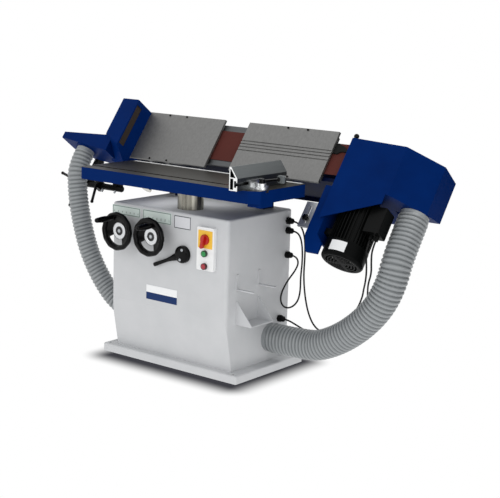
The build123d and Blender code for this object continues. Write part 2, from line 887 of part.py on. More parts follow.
shaft_front = dial_back
save("lift_handwheel", Pos(lift_wheel_x, 0, wheel_height) * handwheel(lift_crank_angle))
save("lift_crank", Pos(lift_wheel_x, 0, wheel_height) * crank(lift_crank_angle))
save("tilt_handwheel", Pos(tilt_wheel_x, 0, wheel_height) * handwheel(tilt_crank_angle))
save("tilt_crank", Pos(tilt_wheel_x, 0, wheel_height) * crank(tilt_crank_angle))

tooth_root = pinion_radius - 1.25 * gear_module
tooth_tip = pinion_radius + gear_module
half_root = tooth_thinning * (tooth_pitch / 4 + 1.25 * gear_module * tooth_slope)
half_tip = tooth_thinning * (tooth_pitch / 4 - gear_module * tooth_slope)
pinion_y = (column_y - pinion_width / 2, column_y + pinion_width / 2)
tooth_foot = tooth_root - gear_module
tooth = ((tooth_foot, -half_root), (tooth_tip, -half_tip), (tooth_tip, half_tip), (tooth_foot, half_root))
pinion = along_y(0, 0, tooth_root, pinion_y)
for step in range(pinion_teeth):
    pinion += Rot(0, step * 360 / pinion_teeth, 0) * prism_y(tooth, pinion_y)
lift_shaft = along_y(0, 0, shaft_radius, (shaft_front, lift_shaft_end)) + pinion
save("lift_shaft", Pos(lift_wheel_x, 0, wheel_height) * lift_shaft)
tilt_shaft = along_y(0, 0, shaft_radius, (shaft_front, tilt_shaft_end))
tilt_shaft += along_y(0, 0, tilt_gear_radius, (tilt_shaft_end - tilt_gear_width, tilt_shaft_end))
save("tilt_shaft", Pos(tilt_wheel_x, 0, wheel_height) * tilt_shaft)

# Lock lever with its cotter spindle
lock_back = cabinet_front - run_gap
lock_front = lock_back - lock_hub_depth
lock_mid = (lock_front + lock_back) / 2
lever = along_y(lock_x, lock_height, lock_hub_radius, (lock_front, lock_back))
lever += along_y(lock_x, lock_height, lock_spindle_radius, (lock_back, lug_y[1]))
lock_turn = math.radians(lock_arm_angle)
tip_x = lock_x + lock_arm_length * math.cos(lock_turn)
tip_z = lock_height + lock_arm_length * math.sin(lock_turn)
lever += rod((lock_x, lock_mid, lock_height), (tip_x, lock_mid, tip_z), lock_arm_radius)
lever += Pos(tip_x, lock_mid, tip_z) * Sphere(lock_ball_radius)
save("lock_lever", lever)

# Table: ribbed casting, with a lug under its right corner, the mitre slot and a bright rear strip
table_x = (table_left, table_right)
table = block(table_x, (table_front, table_rear), (table_under, table_height))
upright = table.edges().filter_by(Axis.Z)
table = fillet([edge for edge in upright if edge.center().X < 0 or edge.center().Y > column_y], table_corner)


def near_corner(inset, span):
    """The triangle cut from the table's near right corner, or the same one at a rim's width within."""
    x = table_right - inset
    y = table_front + inset
    return prism_z(((x - near_corner_x, y), (x, y), (x, y + near_corner_y)), span)


table -= near_corner(0, (table_under, table_height))
plate_under = table_height - table_plate
pocket_x = (table_left + table_rim, table_right - table_rim)
pocket_y = (table_front + table_rim, table_rear - table_rim)
pocket_z = (table_under - 1, plate_under)
pocket = block(pocket_x, pocket_y, pocket_z)
pocket -= near_corner(table_rim, pocket_z)
pocket -= along_z(column_x, column_y, table_boss_radius, pocket_z)
pocket -= block(pocket_x, (column_y - table_rib / 2, column_y + table_rib / 2), pocket_z)
for rib_x in ((table_left + column_x) / 2, column_x, (table_right + column_x) / 2):
    pocket -= block((rib_x - table_rib / 2, rib_x + table_rib / 2), pocket_y, pocket_z)
table -= pocket
lug_near = table_front + near_corner_y
lug_span = (table_right - lug_length, table_right)
table += block(lug_span, (lug_near, lug_near + lug_depth), (table_under - lug_drop, table_under))
slot_half = slot_width / 2
slot_across = (slot_y - slot_half, slot_y + slot_half)
slot_deep_z = (table_height - slot_depth, table_height + 1)
table -= block((table_left - 1, table_right + 1), slot_across, slot_deep_z)
strip_y = (table_rear - strip_width, table_rear)
strip_x = (table_left + table_corner, table_right - table_corner)
strip_under = table_height - strip_thickness
table -= block(strip_x, (strip_y[0], strip_y[1] + 1), (strip_under, table_height + 1))
save("table_top", table)
save("table_edge_strip", block(strip_x, strip_y, (strip_under, table_height + strip_proud)))

# Mitre gauge: bar with a pivot pin, head, fence extrusion and clamp lever
glide = table_height + run_gap
bar_half = slot_half - guide_gap
bar_z = (table_height - slot_depth + guide_gap, table_height - guide_gap)
bar = block((mitre_bar_left, mitre_bar_right), (slot_y - bar_half, slot_y + bar_half), bar_z)
boss_top = glide + head_base + head_boss_height
hub_foot = boss_top + run_gap
hub_top = hub_foot + mitre_hub_height
bar += along_z(mitre_pivot_x, slot_y, mitre_pin_radius, (bar_z[1], hub_top))
save("mitre_bar", bar)

fence_right = fence_left + fence_width
head_y = (slot_y - head_depth / 2, slot_y + head_depth / 2)
head = block((fence_right, mitre_pivot_x), head_y, (glide, glide + head_base))
head += along_z(mitre_pivot_x, slot_y, head_depth / 4, (glide, glide + head_base))
head += block((fence_right, fence_right + head_upstand), head_y, (glide, glide + head_upstand_height))
head += along_z(mitre_pivot_x, slot_y, head_boss_radius, (glide, boss_top))
head -= along_z(mitre_pivot_x, slot_y, mitre_pin_radius + shaft_fit, (glide - 1, boss_top + 1))
save("mitre_head", head)

shoulder_z = glide + fence_slope_height
peak_z = glide + fence_peak_height
fence_outline = (
    (fence_left, glide),
    (fence_right, glide),
    (fence_right, shoulder_z),
    (fence_left + fence_peak_width, peak_z),
    (fence_left, peak_z),
)
fence_y = (fence_near, fence_near + fence_length)
fence = prism_y(fence_outline, fence_y)
inside_left = fence_left + fence_wall
upper_room = (
    (inside_left, shoulder_z + fence_wall / 2),
    (fence_right - 2 * fence_wall, shoulder_z + fence_wall / 2),
    (fence_left + fence_peak_width, peak_z - 2 * fence_wall),
    (inside_left, peak_z - 2 * fence_wall),
)
cut_y = (fence_y[0] - 1, fence_y[1] + 1)
fence -= prism_y(upper_room, cut_y)
slot_z = glide + fence_slot_middle
slot_deep = fence_right - fence_slot_depth
slot_wide = (slot_z - fence_slot_width / 2, slot_z + fence_slot_width / 2)
slot_narrow = (slot_z - fence_slot_mouth / 2, slot_z + fence_slot_mouth / 2)
fence -= block((slot_deep, fence_right - fence_lip), cut_y, slot_wide)
fence -= block((slot_deep, fence_right + 1), cut_y, slot_narrow)
lower_z = (glide + fence_wall, shoulder_z - fence_wall / 2)
fence -= block((inside_left, slot_deep - fence_wall), cut_y, lower_z)
save("mitre_fence", fence)

mitre_mid = (hub_foot + hub_top) / 2
mitre_turn = math.radians(mitre_arm_angle)
mitre_tip_x = mitre_pivot_x + mitre_arm_length * math.cos(mitre_turn)
mitre_tip_y = slot_y + mitre_arm_length * math.sin(mitre_turn)
mitre_tip = (mitre_tip_x, mitre_tip_y, mitre_mid)
clamp = along_z(mitre_pivot_x, slot_y, mitre_hub_radius, (hub_foot, hub_top))
clamp += rod((mitre_pivot_x, slot_y, mitre_mid), mitre_tip, mitre_arm_radius)
clamp += Pos(*mitre_tip) * Sphere(mitre_ball_radius)
clamp -= along_z(mitre_pivot_x, slot_y, mitre_pin_radius + shaft_fit, (hub_foot - 1, hub_top + 1))
save("mitre_clamp_lever", clamp)

# Shoes on the cabinet that carry the tilt quadrants
shoes = []
shoe_half = quadrant_thickness / 2 + shoe_cheek
groove_half = quadrant_thickness / 2 + run_gap
shoe_outline = (
    (shoe_front, cabinet_top),
    (shoe_back, cabinet_top),
    (shoe_back, pivot_z - shoe_back_gap),
    (shoe_front + shoe_crown, pivot_z - shoe_head_gap),
    (shoe_front, pivot_z - shoe_head_gap),
)
for side in (-quadrant_x, quadrant_x):
    shoe = prism_x(shoe_outline, (side - shoe_half, side + shoe_half))
    shoe -= along_x(pivot_y, pivot_z, quadrant_outer + run_gap, (side - groove_half, side + groove_half))
    shoes.append(shoe)
save("trunnion_shoes", group(*shoes))

# Quadrants under the tilt frame
quadrants = []
for side in (-quadrant_x, quadrant_x):
    ring = sector(quadrant_inner, quadrant_outer, quadrant_start - 90, quadrant_end - 90)
    ring = Plane.YZ.offset(side - quadrant_thickness / 2) * ring
    quadrant = extrude(ring, amount=quadrant_thickness, dir=(1, 0, 0))
    over = (rail_bottom, rail_bottom + quadrant_outer)
    quadrant -= block((side - quadrant_x, side + quadrant_x), (0, 2 * quadrant_outer), over)
    quadrants.append(quadrant)
tilted("tilt_quadrants", group(*quadrants))

# Tilt frame: rail under the drums, spine behind the platen, gussets, drive bearing and gibs
frame = block((rail_left, rail_right), (rail_front, rail_back), (rail_bottom, rail_top))
platen_back = platen_front + platen_thickness
spine_b = (platen_back, platen_back + spine_thickness)
frame += block((spine_left, platen_right), spine_b, (rail_top, rail_top + spine_height))
gusset_step = (platen_right - spine_left - gusset_thickness) / (gusset_count - 1)
for step in range(gusset_count):
    x = spine_left + step * gusset_step
    foot = spine_b[1] + gusset_depth
    shape = ((spine_b[1], rail_top), (foot, rail_top), (spine_b[1], rail_top + spine_height))
    frame += prism_x(shape, (x, x + gusset_thickness))
frame += along_z(drive_x, drum_b, housing_radius, (rail_bottom - housing_height, rail_bottom))
frame -= along_z(drive_x, drum_b, drive_shaft_radius + run_gap, (0, rail_top + 1))
slot_clear = neck_radius + run_gap
frame -= along_z(idler_x, drum_b, slot_clear, (rail_bottom - 1, rail_top + 1))
frame -= along_z(idler_x + tension_travel, drum_b, slot_clear, (rail_bottom - 1, rail_top + 1))
slot_x = (idler_x, idler_x + tension_travel)
frame -= block(slot_x, (drum_b - slot_clear, drum_b + slot_clear), (rail_bottom - 1, rail_top + 1))
gib_x = (idler_x - slide_length / 2, idler_x + slide_length / 2 + tension_travel)
gib_u = (slide_bottom - run_gap - gib_lip_thickness, rail_bottom)
for sign in (-1, 1):
    wall_b = drum_b + sign * (slide_depth / 2 + run_gap)
    edge = sorted((wall_b, wall_b + sign * gib_width))
    frame += block(gib_x, edge, gib_u)
    lip = sorted((wall_b + sign * gib_width, wall_b - sign * gib_lip))
    frame += block(gib_x, lip, (gib_u[0], gib_u[0] + gib_lip_thickness))
tilted("tilt_frame", frame)

# Platen with the spacers that carry the cover plates
platen_top = platen_bottom + platen_height
platen_b = (platen_front, platen_back)
platen = block((platen_left, platen_right), platen_b, (platen_bottom, platen_top))
arm_x = (platen_left - platen_arm, platen_left)
platen += block(arm_x, platen_b, (platen_top - platen_arm_height, platen_top))
platen += block(arm_x, platen_b, (platen_bottom, platen_bottom + platen_arm_height))
screw_us = (cover_bottom + cover_screw_inset, cover_top - cover_screw_inset)
for x in cover_screw_xs:
    span_x = (x - spacer_width / 2, x + spacer_width / 2)
    platen += block(span_x, (cover_thickness, platen_front), (platen_top - spacer_overlap, cover_top))
    platen += block(span_x, (cover_thickness, platen_front), (cover_bottom, platen_bottom + spacer_overlap))
    platen += block(span_x, platen_b, (platen_top, cover_top))
    platen += block(span_x, platen_b, (cover_bottom, platen_bottom))
    for u in screw_us:
        platen -= along_y(x, u, cover_screw_radius / 2, (cover_thickness - 1, platen_back + 1))
tilted("platen", platen)

# Cover plates in front of the belt, the right one grooved, and their screws
cover_b = (0, cover_thickness)
cover_u = (cover_bottom, cover_top)
left_plate = block(left_cover, cover_b, cover_u)
right_plate = block(right_cover, cover_b, cover_u)
for u in cover_grooves:
    groove_u = (u - groove_width / 2, u + groove_width / 2)
    right_plate -= block((right_cover[0] - 1, right_cover[1] + 1), (-1, groove_depth), groove_u)
screws = []
for x in cover_screw_xs:
    for u in screw_us:
        shank = along_y(x, u, cover_screw_radius / 2, (-cover_screw_head, platen_back))
        screws.append(shank + along_y(x, u, cover_screw_radius, (-cover_screw_head, 0)))
        left_plate -= along_y(x, u, cover_screw_radius / 2, (-1, cover_thickness + 1))
        right_plate -= along_y(x, u, cover_screw_radius / 2, (-1, cover_thickness + 1))
tilted("left_cover_plate", left_plate)
tilted("right_cover_plate", right_plate)
tilted("cover_screws", group(*screws))

# Abrasive belt round the two drums
belt_middle = Pos((idler_x + drive_x) / 2, drum_b, belt_bottom)
belt_face = SlotCenterToCenter(drive_x - idler_x, 2 * belt_radius)
belt_face -= SlotCenterToCenter(drive_x - idler_x, 2 * (belt_radius - belt_thickness))
tilted("sanding_belt", belt_middle * extrude(belt_face, amount=belt_width))


def drum(x, bore):
    """A cup-shaped drum on its hub."""
    span = (drum_bottom, drum_bottom + drum_width)
    body = along_z(x, drum_b, drum_radius, span)
    room = (drum_bottom + drum_floor, span[1] + 1)
    body -= along_z(x, drum_b, drum_radius - drum_wall, room) - along_z(x, drum_b, drum_hub_radius, room)
    return body - along_z(x, drum_b, bore, (span[0] - 1, span[1] + 1))


tilted("drive_drum", drum(drive_x, drive_shaft_radius))
tilted("idler_drum", drum(idler_x, idler_axle_radius + shaft_fit))

# Idler slide: plate between the gibs, neck through the rail, axle for the drum, boss below
slide_x = (idler_x - slide_length / 2, idler_x + slide_length / 2)
slide_b = (drum_b - slide_depth / 2, drum_b + slide_depth / 2)
slide = block(slide_x, slide_b, (slide_bottom, slide_top))
slide += along_z(idler_x, drum_b, neck_radius, (slide_top, drum_bottom - run_gap))
slide += along_z(idler_x, drum_b, idler_axle_radius, (slide_top, idler_axle_top))
slide += along_z(idler_x, drum_b, boss_radius, (boss_bottom, slide_bottom))
tilted("tension_slide", slide)

# Rear guard behind the belt's return run
guard_x = (guard_left, guard_right)
guard = block(guard_x, (guard_b, guard_b + guard_sheet), (guard_bottom, guard_top))
guard += block(guard_x, (rail_back, guard_b), (guard_flange_u, guard_flange_u + guard_sheet))
tilted("rear_guard", guard)

# Right hood over the drive drum, its floor raised at the far corner, with the hose spigot below it
lift_b = hood_plan[2][1]
lift_back = hood_plan[3][1] + hood_sheet
lift_slope = hood_lift / (hood_plan[3][1] - lift_b)


def raised(by):
    """The wedge cut away under the raised part of the floor, or the same one a sheet's thickness within."""
    low = hood_bottom + by
    high = low + lift_slope * (lift_back - lift_b)
    under = hood_bottom - hood_lift
    wedge = ((lift_b, low), (lift_back, high), (lift_back, under), (lift_b, under))
    return prism_x(wedge, (hood_lift_left - by, hood_plan[2][0] + hood_sheet))


hood = prism_z(hood_plan, (hood_bottom, hood_top)) - raised(0)
inner_plan = offset(make_face(Polyline(*hood_plan, close=True)), amount=-hood_sheet, kind=Kind.INTERSECTION)
inner_height = hood_top - hood_bottom - 2 * hood_sheet
inner = Pos(0, 0, hood_bottom + hood_sheet) * extrude(inner_plan, amount=inner_height)
inner -= raised(hood_sheet)
mouth_x = (hood_plan[0][0] - hood_sheet, hood_plan[4][0] + 3 * hood_sheet)
mouth_b = (hood_plan[0][1] + 2 * hood_sheet, hood_plan[4][1] - hood_sheet)
inner_u = (hood_bottom + hood_sheet, hood_top - hood_sheet)
hood -= inner
hood -= block(mouth_x, mouth_b, inner_u)
hood -= along_z(drive_x, drum_b, hood_hole_radius, (hood_bottom - 1, inner_u[0] + 1))
spigot_u = (hood_bottom - spigot_length, hood_bottom + hood_lift)
hood += along_z(hood_spigot_x, hood_spigot_b, right_spigot_radius, spigot_u) - inner
spigot_cut = (spigot_u[0] - 1, spigot_u[1] + 1)
hood -= along_z(hood_spigot_x, hood_spigot_b, right_spigot_radius - spigot_wall, spigot_cut)
tilted("right_hood", hood)

# Left hood: slotted box in front of the idler, box round the idler and chute to the hose
left_outline = (
    (left_hood_front, left_hood_fold_left),
    (left_hood_front, left_hood_top),
    (0, left_hood_top),
    (0, left_hood_foot_left),
)
right_outline = (
    (left_hood_front, left_hood_fold_right),
    (left_hood_front, left_hood_top),
    (0, left_hood_top),
    (0, left_hood_foot_right),
)


def shrink(outline, by):
    """An outline of four corners, front low, front high, back high, back low, drawn in all round."""
    rise = (outline[3][1] - outline[0][1]) / (outline[3][0] - outline[0][0])
    lift = by * math.sqrt(1 + rise * rise)
    front = outline[0][0] + by
    back = outline[3][0] - by
    top_front = outline[1][1] - by
    top_back = outline[2][1] - by
    low_front = outline[0][1] + rise * by + lift
    low_back = outline[3][1] - rise * by + lift
    return ((front, low_front), (front, top_front), (back, top_back), (back, low_back))


sheet = left_hood_sheet
hood_x = (left_hood_left, left_hood_right)
rear_bottom = rail_bottom - sheet
rear_x = (left_hood_left, rear_box_right)
chute_fall = (chute_right_bottom - chute_left_bottom) / (chute_right - chute_left)
chute_rise = (chute_right_top - chute_left_top) / (chute_right - chute_left)


def chute_side(inset):
    """The chute's outline from the front, in x and up, drawn in all round."""
    left = chute_left + inset
    right = chute_right - inset
    low = inset * math.sqrt(1 + chute_fall * chute_fall)
    high = inset * math.sqrt(1 + chute_rise * chute_rise)
    return (
        (left, chute_left_bottom + chute_fall * inset + low),
        (left, chute_left_top + chute_rise * inset - high),
        (right, chute_right_top - chute_rise * inset - high),
        (right, chute_right_bottom - chute_fall * inset + low),
    )


collar_floor = chute_left_bottom + chute_fall * (collar_x + collar_radius - chute_left)
collar_bottom = collar_floor - collar_lip
collar_top = collar_bottom + collar_height
dust = frustum(left_outline, right_outline, hood_x)
dust += block(rear_x, (0, rear_box_back), (rear_bottom, left_hood_top))
dust += prism_y(chute_side(0), (chute_front, chute_back))
dust += along_z(collar_x, collar_b, collar_radius, (collar_bottom, collar_top))
room_x = (hood_x[0] + sheet, hood_x[1] - sheet)
room = frustum(shrink(left_outline, sheet), shrink(right_outline, sheet), room_x)
dust -= room
chute_room_b = (chute_front + sheet, chute_back - sheet)
dust -= prism_y(chute_side(sheet), chute_room_b)
rear_room = (rear_x[0] + sheet, rear_box_right + 1)
dust -= block(rear_room, (sheet, rear_box_back - sheet), (rail_bottom, left_hood_top - sheet))
passage_u = (rail_bottom, left_hood_top - sheet)
dust -= block((rear_room[0], rear_box_right - sheet), (-2 * sheet, 2 * sheet), passage_u)
dust_slot_u = (dust_slot_bottom, dust_slot_top)
dust -= block((left_hood_right - 2 * sheet, left_hood_right + 1), dust_slot, dust_slot_u)
pad_x = (rail_left, rail_left + rail_bracket_pad)
post_b = (end_rail_b - end_clamp_half, end_rail_b + end_clamp_half)
dust -= block(
    (pad_x[0] - run_gap, pad_x[1] + run_gap),
    (post_b[0] - run_gap, post_b[1] + run_gap),
    (rear_bottom - 1, rail_bottom + 1),
)
spigot_end = collar_bottom - spigot_length
dust += along_z(collar_x, collar_b, left_spigot_radius, (spigot_end, collar_bottom))
dust -= along_z(collar_x, collar_b, left_spigot_radius - spigot_wall, (spigot_end - 1, collar_top + 1))
tilted("left_hood", dust)

# Motor plate: upright web, front flange and a gusset panel in line with the hood's front
web_x = (motor_plate_left, motor_plate_left + motor_plate_thickness)
flange_b = (motor_plate_front, motor_plate_front + motor_plate_thickness)
plate_u = (motor_plate_bottom, hood_bottom)
motor_plate = block(web_x, (motor_plate_front, motor_plate_back), plate_u)
ear_top = motor_flange_bottom + motor_flange_ear
flange_outline = (
    (motor_flange_left, plate_u[1]),
    (web_x[1], plate_u[1]),
    (web_x[1], ear_top + motor_flange_right - web_x[1]),
    (motor_flange_right, ear_top),
    (motor_flange_right, motor_flange_bottom),
    (motor_flange_left + motor_flange_cut_x, motor_flange_bottom),
    (motor_flange_left, motor_flange_bottom + motor_flange_cut_u),
)
motor_plate += prism_y(flange_outline, flange_b)
front_run = (hood_plan[1][0] - hood_plan[0][0], hood_plan[1][1] - hood_plan[0][1])
panel_plane = Plane(
    origin=(hood_plan[0][0], hood_plan[0][1], hood_bottom),
    x_dir=(front_run[0], front_run[1], 0),
    z_dir=(front_run[1], -front_run[0], 0),
)
panel_outline = ((0, 0), (gusset_reach, 0), (gusset_reach, -gusset_tip), (0, -gusset_drop))
panel = panel_plane * make_face(Polyline(*panel_outline, close=True))
motor_plate += extrude(panel, amount=gusset_sheet, dir=(-front_run[1], front_run[0], 0))
motor_plate += block(web_x, (gusset_sheet, motor_plate_front), (hood_bottom - gusset_web, hood_bottom))
tilted("motor_plate", motor_plate)

# Motor: finned body with its shoulder, nose and feet; fan cover; terminal box with two glands
motor = along_z(drive_x, drum_b, motor_core_radius, (motor_bottom, motor_shoulder))
for step in range(motor_fins):
    fin_out = (motor_core_radius - fin_thickness, motor_radius)
    fin = block(fin_out, (-fin_thickness / 2, fin_thickness / 2), (motor_bottom, motor_shoulder))
    motor += Pos(drive_x, drum_b, 0) * Rot(0, 0, (step + 0.5) * 360 / motor_fins) * fin
nose = hood_bottom - motor_shoulder
shoulder_part = Cone(motor_radius, motor_nose_radius, nose)
motor += Pos(drive_x, drum_b, motor_shoulder + nose / 2) * shoulder_part
foot_b = (drum_b - foot_length / 2, drum_b + foot_length / 2)
foot_x = (web_x[1], drive_x - motor_core_radius / 2)
for low in (motor_bottom + foot_inset, motor_shoulder - foot_inset - foot_height):
    motor += block(foot_x, foot_b, (low, low + foot_height))
motor -= along_z(drive_x, drum_b, drive_shaft_radius + shaft_fit, (motor_bottom - 1, hood_bottom + 1))
tilted("motor_body", motor)

cover_span = (fan_cover_bottom, motor_bottom)
fan_cover = along_z(drive_x, drum_b, fan_cover_radius, cover_span)
fan_cover = fillet(fan_cover.faces().sort_by(Axis.Z)[0].edges(), fan_cover_lip)
cover_room = (fan_cover_bottom + fan_cover_wall, motor_bottom - fan_cover_wall)
fan_cover -= along_z(drive_x, drum_b, fan_cover_radius - fan_cover_lip, cover_room)
upper_room_u = (fan_cover_bottom + fan_cover_lip, motor_bottom - fan_cover_wall)
fan_cover -= along_z(drive_x, drum_b, fan_cover_radius - fan_cover_wall, upper_room_u)
lip_span = (fan_cover_bottom + fan_cover_lip, motor_bottom + 1)
fan_cover -= along_z(drive_x, drum_b, fan_cover_radius - fan_cover_lip, lip_span)
ring_step = (fan_cover_radius - fan_cover_lip) / (fan_cover_rings + 1)
floor_cut = (fan_cover_bottom - 1, fan_cover_bottom + fan_cover_wall + 1)
spoke = fan_cover_spoke / 2
reach = fan_cover_radius
for step in range(1, fan_cover_rings + 1):
    middle = step * ring_step
    ring = along_z(drive_x, drum_b, middle + fan_cover_slot / 2, floor_cut)
    ring -= along_z(drive_x, drum_b, middle - fan_cover_slot / 2, floor_cut)
    ring -= block((drive_x - reach, drive_x + reach), (drum_b - spoke, drum_b + spoke), floor_cut)
    ring -= block((drive_x - spoke, drive_x + spoke), (drum_b - reach, drum_b + reach), floor_cut)
    fan_cover -= ring
tilted("motor_fan_cover", fan_cover)

terminal_x = (terminal_left, terminal_right)
terminal = block(terminal_x, (terminal_front, terminal_back), (terminal_bottom, terminal_top))
terminal = fillet(terminal.faces().sort_by(Axis.X)[-1].edges(), terminal_corner)
terminal -= along_z(drive_x, drum_b, motor_radius + shaft_fit, (terminal_bottom - 1, terminal_top + 1))
terminal_b = (terminal_front + terminal_back) / 2
terminal_end = terminal_bottom - terminal_gland_length
for x in terminal_gland_xs:
    terminal += along_z(x, terminal_b, terminal_gland_radius, (terminal_end, terminal_bottom))
tilted("terminal_box", terminal)

# Drive shaft through motor, bearing and drum, with the cooling fan at its lower end
fan_u = fan_cover_bottom + fan_cover_lip + fan_gap
shaft = along_z(drive_x, drum_b, drive_shaft_radius, (fan_u, shaft_top))
shaft += along_z(drive_x, drum_b, shaft_collar_radius, (rail_top + run_gap, drum_bottom))
shaft += along_z(drive_x, drum_b, fan_radius, (fan_u, fan_u + fan_blade))
for step in range(fan_blades):
    blade_out = (drive_shaft_radius / 2, fan_radius)
    blade = block(blade_out, (-fan_blade / 2, fan_blade / 2), (fan_u, fan_u + fan_height))
    shaft += Pos(drive_x, drum_b, 0) * Rot(0, 0, step * 360 / fan_blades) * blade
tilted("motor_shaft", shaft)

# Slotted bracket behind the motor plate's flange, with its clamping knob
bracket_x = (bracket_left, bracket_right)
bracket_front = flange_b[1]
bracket_back = bracket_front + bracket_thickness
bracket = block(bracket_x, (bracket_front, bracket_back), (bracket_bottom, bracket_top))
bracket_cut = (bracket_front - 1, bracket_back + 1)
slot_ends = (bracket_bottom + bracket_slot_inset, bracket_top - bracket_slot_inset)
slot_sides = (bracket_slot_x - bracket_slot_radius, bracket_slot_x + bracket_slot_radius)
bracket -= block(slot_sides, bracket_cut, slot_ends)
for u in slot_ends:
    bracket -= along_y(bracket_slot_x, u, bracket_slot_radius, bracket_cut)
tilted("slide_bracket", bracket)

knob_face = bracket_front - run_gap
grip_span = (knob_face - bracket_knob_depth, knob_face)
clamp_knob = along_y(bracket_slot_x, bracket_knob_u, bracket_knob_radius, grip_span)
clamp_knob += along_y(bracket_slot_x, bracket_knob_u, bracket_stud_radius, (knob_face, bracket_stud_end))
tilted("bracket_knob", clamp_knob)

# Rail behind the left hose: tube, its bracket on the frame, an arm to the chute, clamps and bolts
tube_cut = along_x(end_rail_b, end_rail_u, end_rail_radius, (end_rail_left, end_rail_right))
tilted("end_rail", fillet(tube_cut.edges().filter_by(GeomType.CIRCLE), end_rail_round))
clamp_u = (end_rail_u - end_clamp_half, end_rail_u + end_clamp_half)
post_right = end_rail_right - rail_bracket_inset
post_x = (post_right - rail_bracket_width, post_right)
post = block(post_x, post_b, (end_rail_u, rear_bottom)) - tube_cut
post += block((post_x[0], pad_x[1]), post_b, (rear_bottom - rail_bracket_foot, rear_bottom))
post += block(pad_x, post_b, (rear_bottom, rail_bottom))
arm_span = (rail_arm_x - rail_arm_width / 2, rail_arm_x + rail_arm_width / 2)
arm_u = (rail_arm_u - rail_arm_thickness / 2, rail_arm_u + rail_arm_thickness / 2)
arm = block(arm_span, (chute_back, post_b[1]), arm_u)
arm += block(arm_span, post_b, (end_rail_u, arm_u[1]))
arm -= tube_cut
clamp_span = (lever_clamp_x - lever_clamp_width / 2, lever_clamp_x + lever_clamp_width / 2)
middle_clamp = block(clamp_span, post_b, clamp_u) - tube_cut
end_span = (end_rail_left, end_rail_left + end_clamp_width)
end_clamp = block(end_span, post_b, clamp_u) - tube_cut
end_pin_x = end_rail_left + end_clamp_width / 2
bolt_spots = []
for x in rail_bolt_xs:
    bolt_u = (end_rail_u - end_rail_radius - rail_bolt_length, end_rail_u)
    bolt_spots.append(along_z(x, end_rail_b, rail_bolt_radius, bolt_u) - tube_cut)
lever_u = end_rail_u
pin_hole = lever_pin_radius + shaft_fit
pin_bottom = end_rail_b - end_rail_radius
for x in (lever_clamp_x, end_pin_x):
    hole = along_y(x, lever_u, pin_hole, (post_b[0] - 1, pin_bottom))
    middle_clamp -= hole
    end_clamp -= hole
tilted("rail_clamps", group(post, arm, middle_clamp, end_clamp, *bolt_spots))


def clamp_lever(x, arms):
    """A lever on a pin along Y; arms holds pairs of length and angle."""
    back = post_b[0] - run_gap
    front = back - lever_hub_depth
    middle = (front + back) / 2
    shape = along_y(x, lever_u, lever_hub_radius, (front, back))
    shape += along_y(x, lever_u, lever_pin_radius, (back, pin_bottom - run_gap))
    for length, angle in arms:
        end_x = x + length * math.cos(math.radians(angle))
        end_u = lever_u + length * math.sin(math.radians(angle))
        shape += rod((x, middle, lever_u), (end_x, middle, end_u), lever_arm_radius)
        shape += Pos(end_x, middle, end_u) * Sphere(lever_ball_radius)
    return shape


tilted("front_clamp_lever", clamp_lever(lever_clamp_x, ((front_lever_length, front_lever_angle),)))
end_arms = ((end_lever_up, end_lever_up_angle), (end_lever_down, end_lever_down_angle))
tilted("end_clamp_lever", clamp_lever(end_pin_x, end_arms))


def route(points):
    """Straight runs joined by arcs as large as the runs allow; prints the arcs' radii."""
    spots = [Vector(*point) for point in points]
    radii = []
    for before, here, after in zip(spots, spots[1:], spots[2:]):
        first = here - before
        second = after - here
        turn = math.radians(first.get_angle(second))
        radii.append(0.45 * min(first.length, second.length) / math.tan(turn / 2))
    print("radii", [round(radius) for radius in radii])
    return FilletPolyline(*spots, radius=radii)


def across(path, distance):
    """The plane square to a path at a distance along it, with its x axis held near Y."""
    spot = path.position_at(distance, position_mode=PositionMode.LENGTH)
    way = path.tangent_at(distance, position_mode=PositionMode.LENGTH)
    side = Vector(0, 1, 0) - way * way.Y
    return Plane(origin=spot, x_dir=side, z_dir=way)


def ribbed_hose(points, crest, valley, bore):
    """A hose with a smooth bore and raised ribs between two short cuffs."""
    path = route(points)
    length = path.length
    count = round((length - 2 * hose_cuff) / hose_pitch)
    pitch = (length - 2 * hose_cuff) / count
    rings = [across(path, 0) * Circle(valley)]
    for step in range(count):
        start = hose_cuff + step * pitch
        for share, radius in ((0.1, valley), (0.3, crest), (0.65, crest), (0.85, valley)):
            rings.append(across(path, start + share * pitch) * Circle(radius))
    rings.append(across(path, length) * Circle(valley))
    body = loft(rings, ruled=True)
    hole = sweep(across(path, 0) * Circle(bore), path=path)
    hose = body - hole
    print("hose length", round(length), "ribs", count, "volume", round(hose.volume))
    return hose


def cable(points):
    """A plain round cable."""
    path = route(points)
    tube = sweep(across(path, 0) * Circle(cable_radius), path=path)
    section = math.pi * cable_radius * cable_radius * path.length
    print("cable length", round(path.length), "volume share", round(tube.volume / section, 4))
    return tube


# Right hose: from under the right hood, falling forwards and in to the right wall
right_hose_points = (
    at_rest(hood_spigot_x, hood_spigot_b, hood_bottom),
    at_rest(hood_spigot_x, hood_spigot_b, hood_bottom - right_hose_lead),
    (1008.0, 50.0, 518.0),
    (962.0, 42.0, 410.0),
    (880.0, 44.0, 314.0),
    (780.0, 50.0, 234.0),
    (678.0, 58.0, 178.0),
    (half_cabinet + right_hose_end, right_inlet_y, inlet_height),
    (half_cabinet, right_inlet_y, inlet_height),
)
save("hose_right", ribbed_hose(right_hose_points, right_hose_radius, right_hose_valley, right_hose_bore))

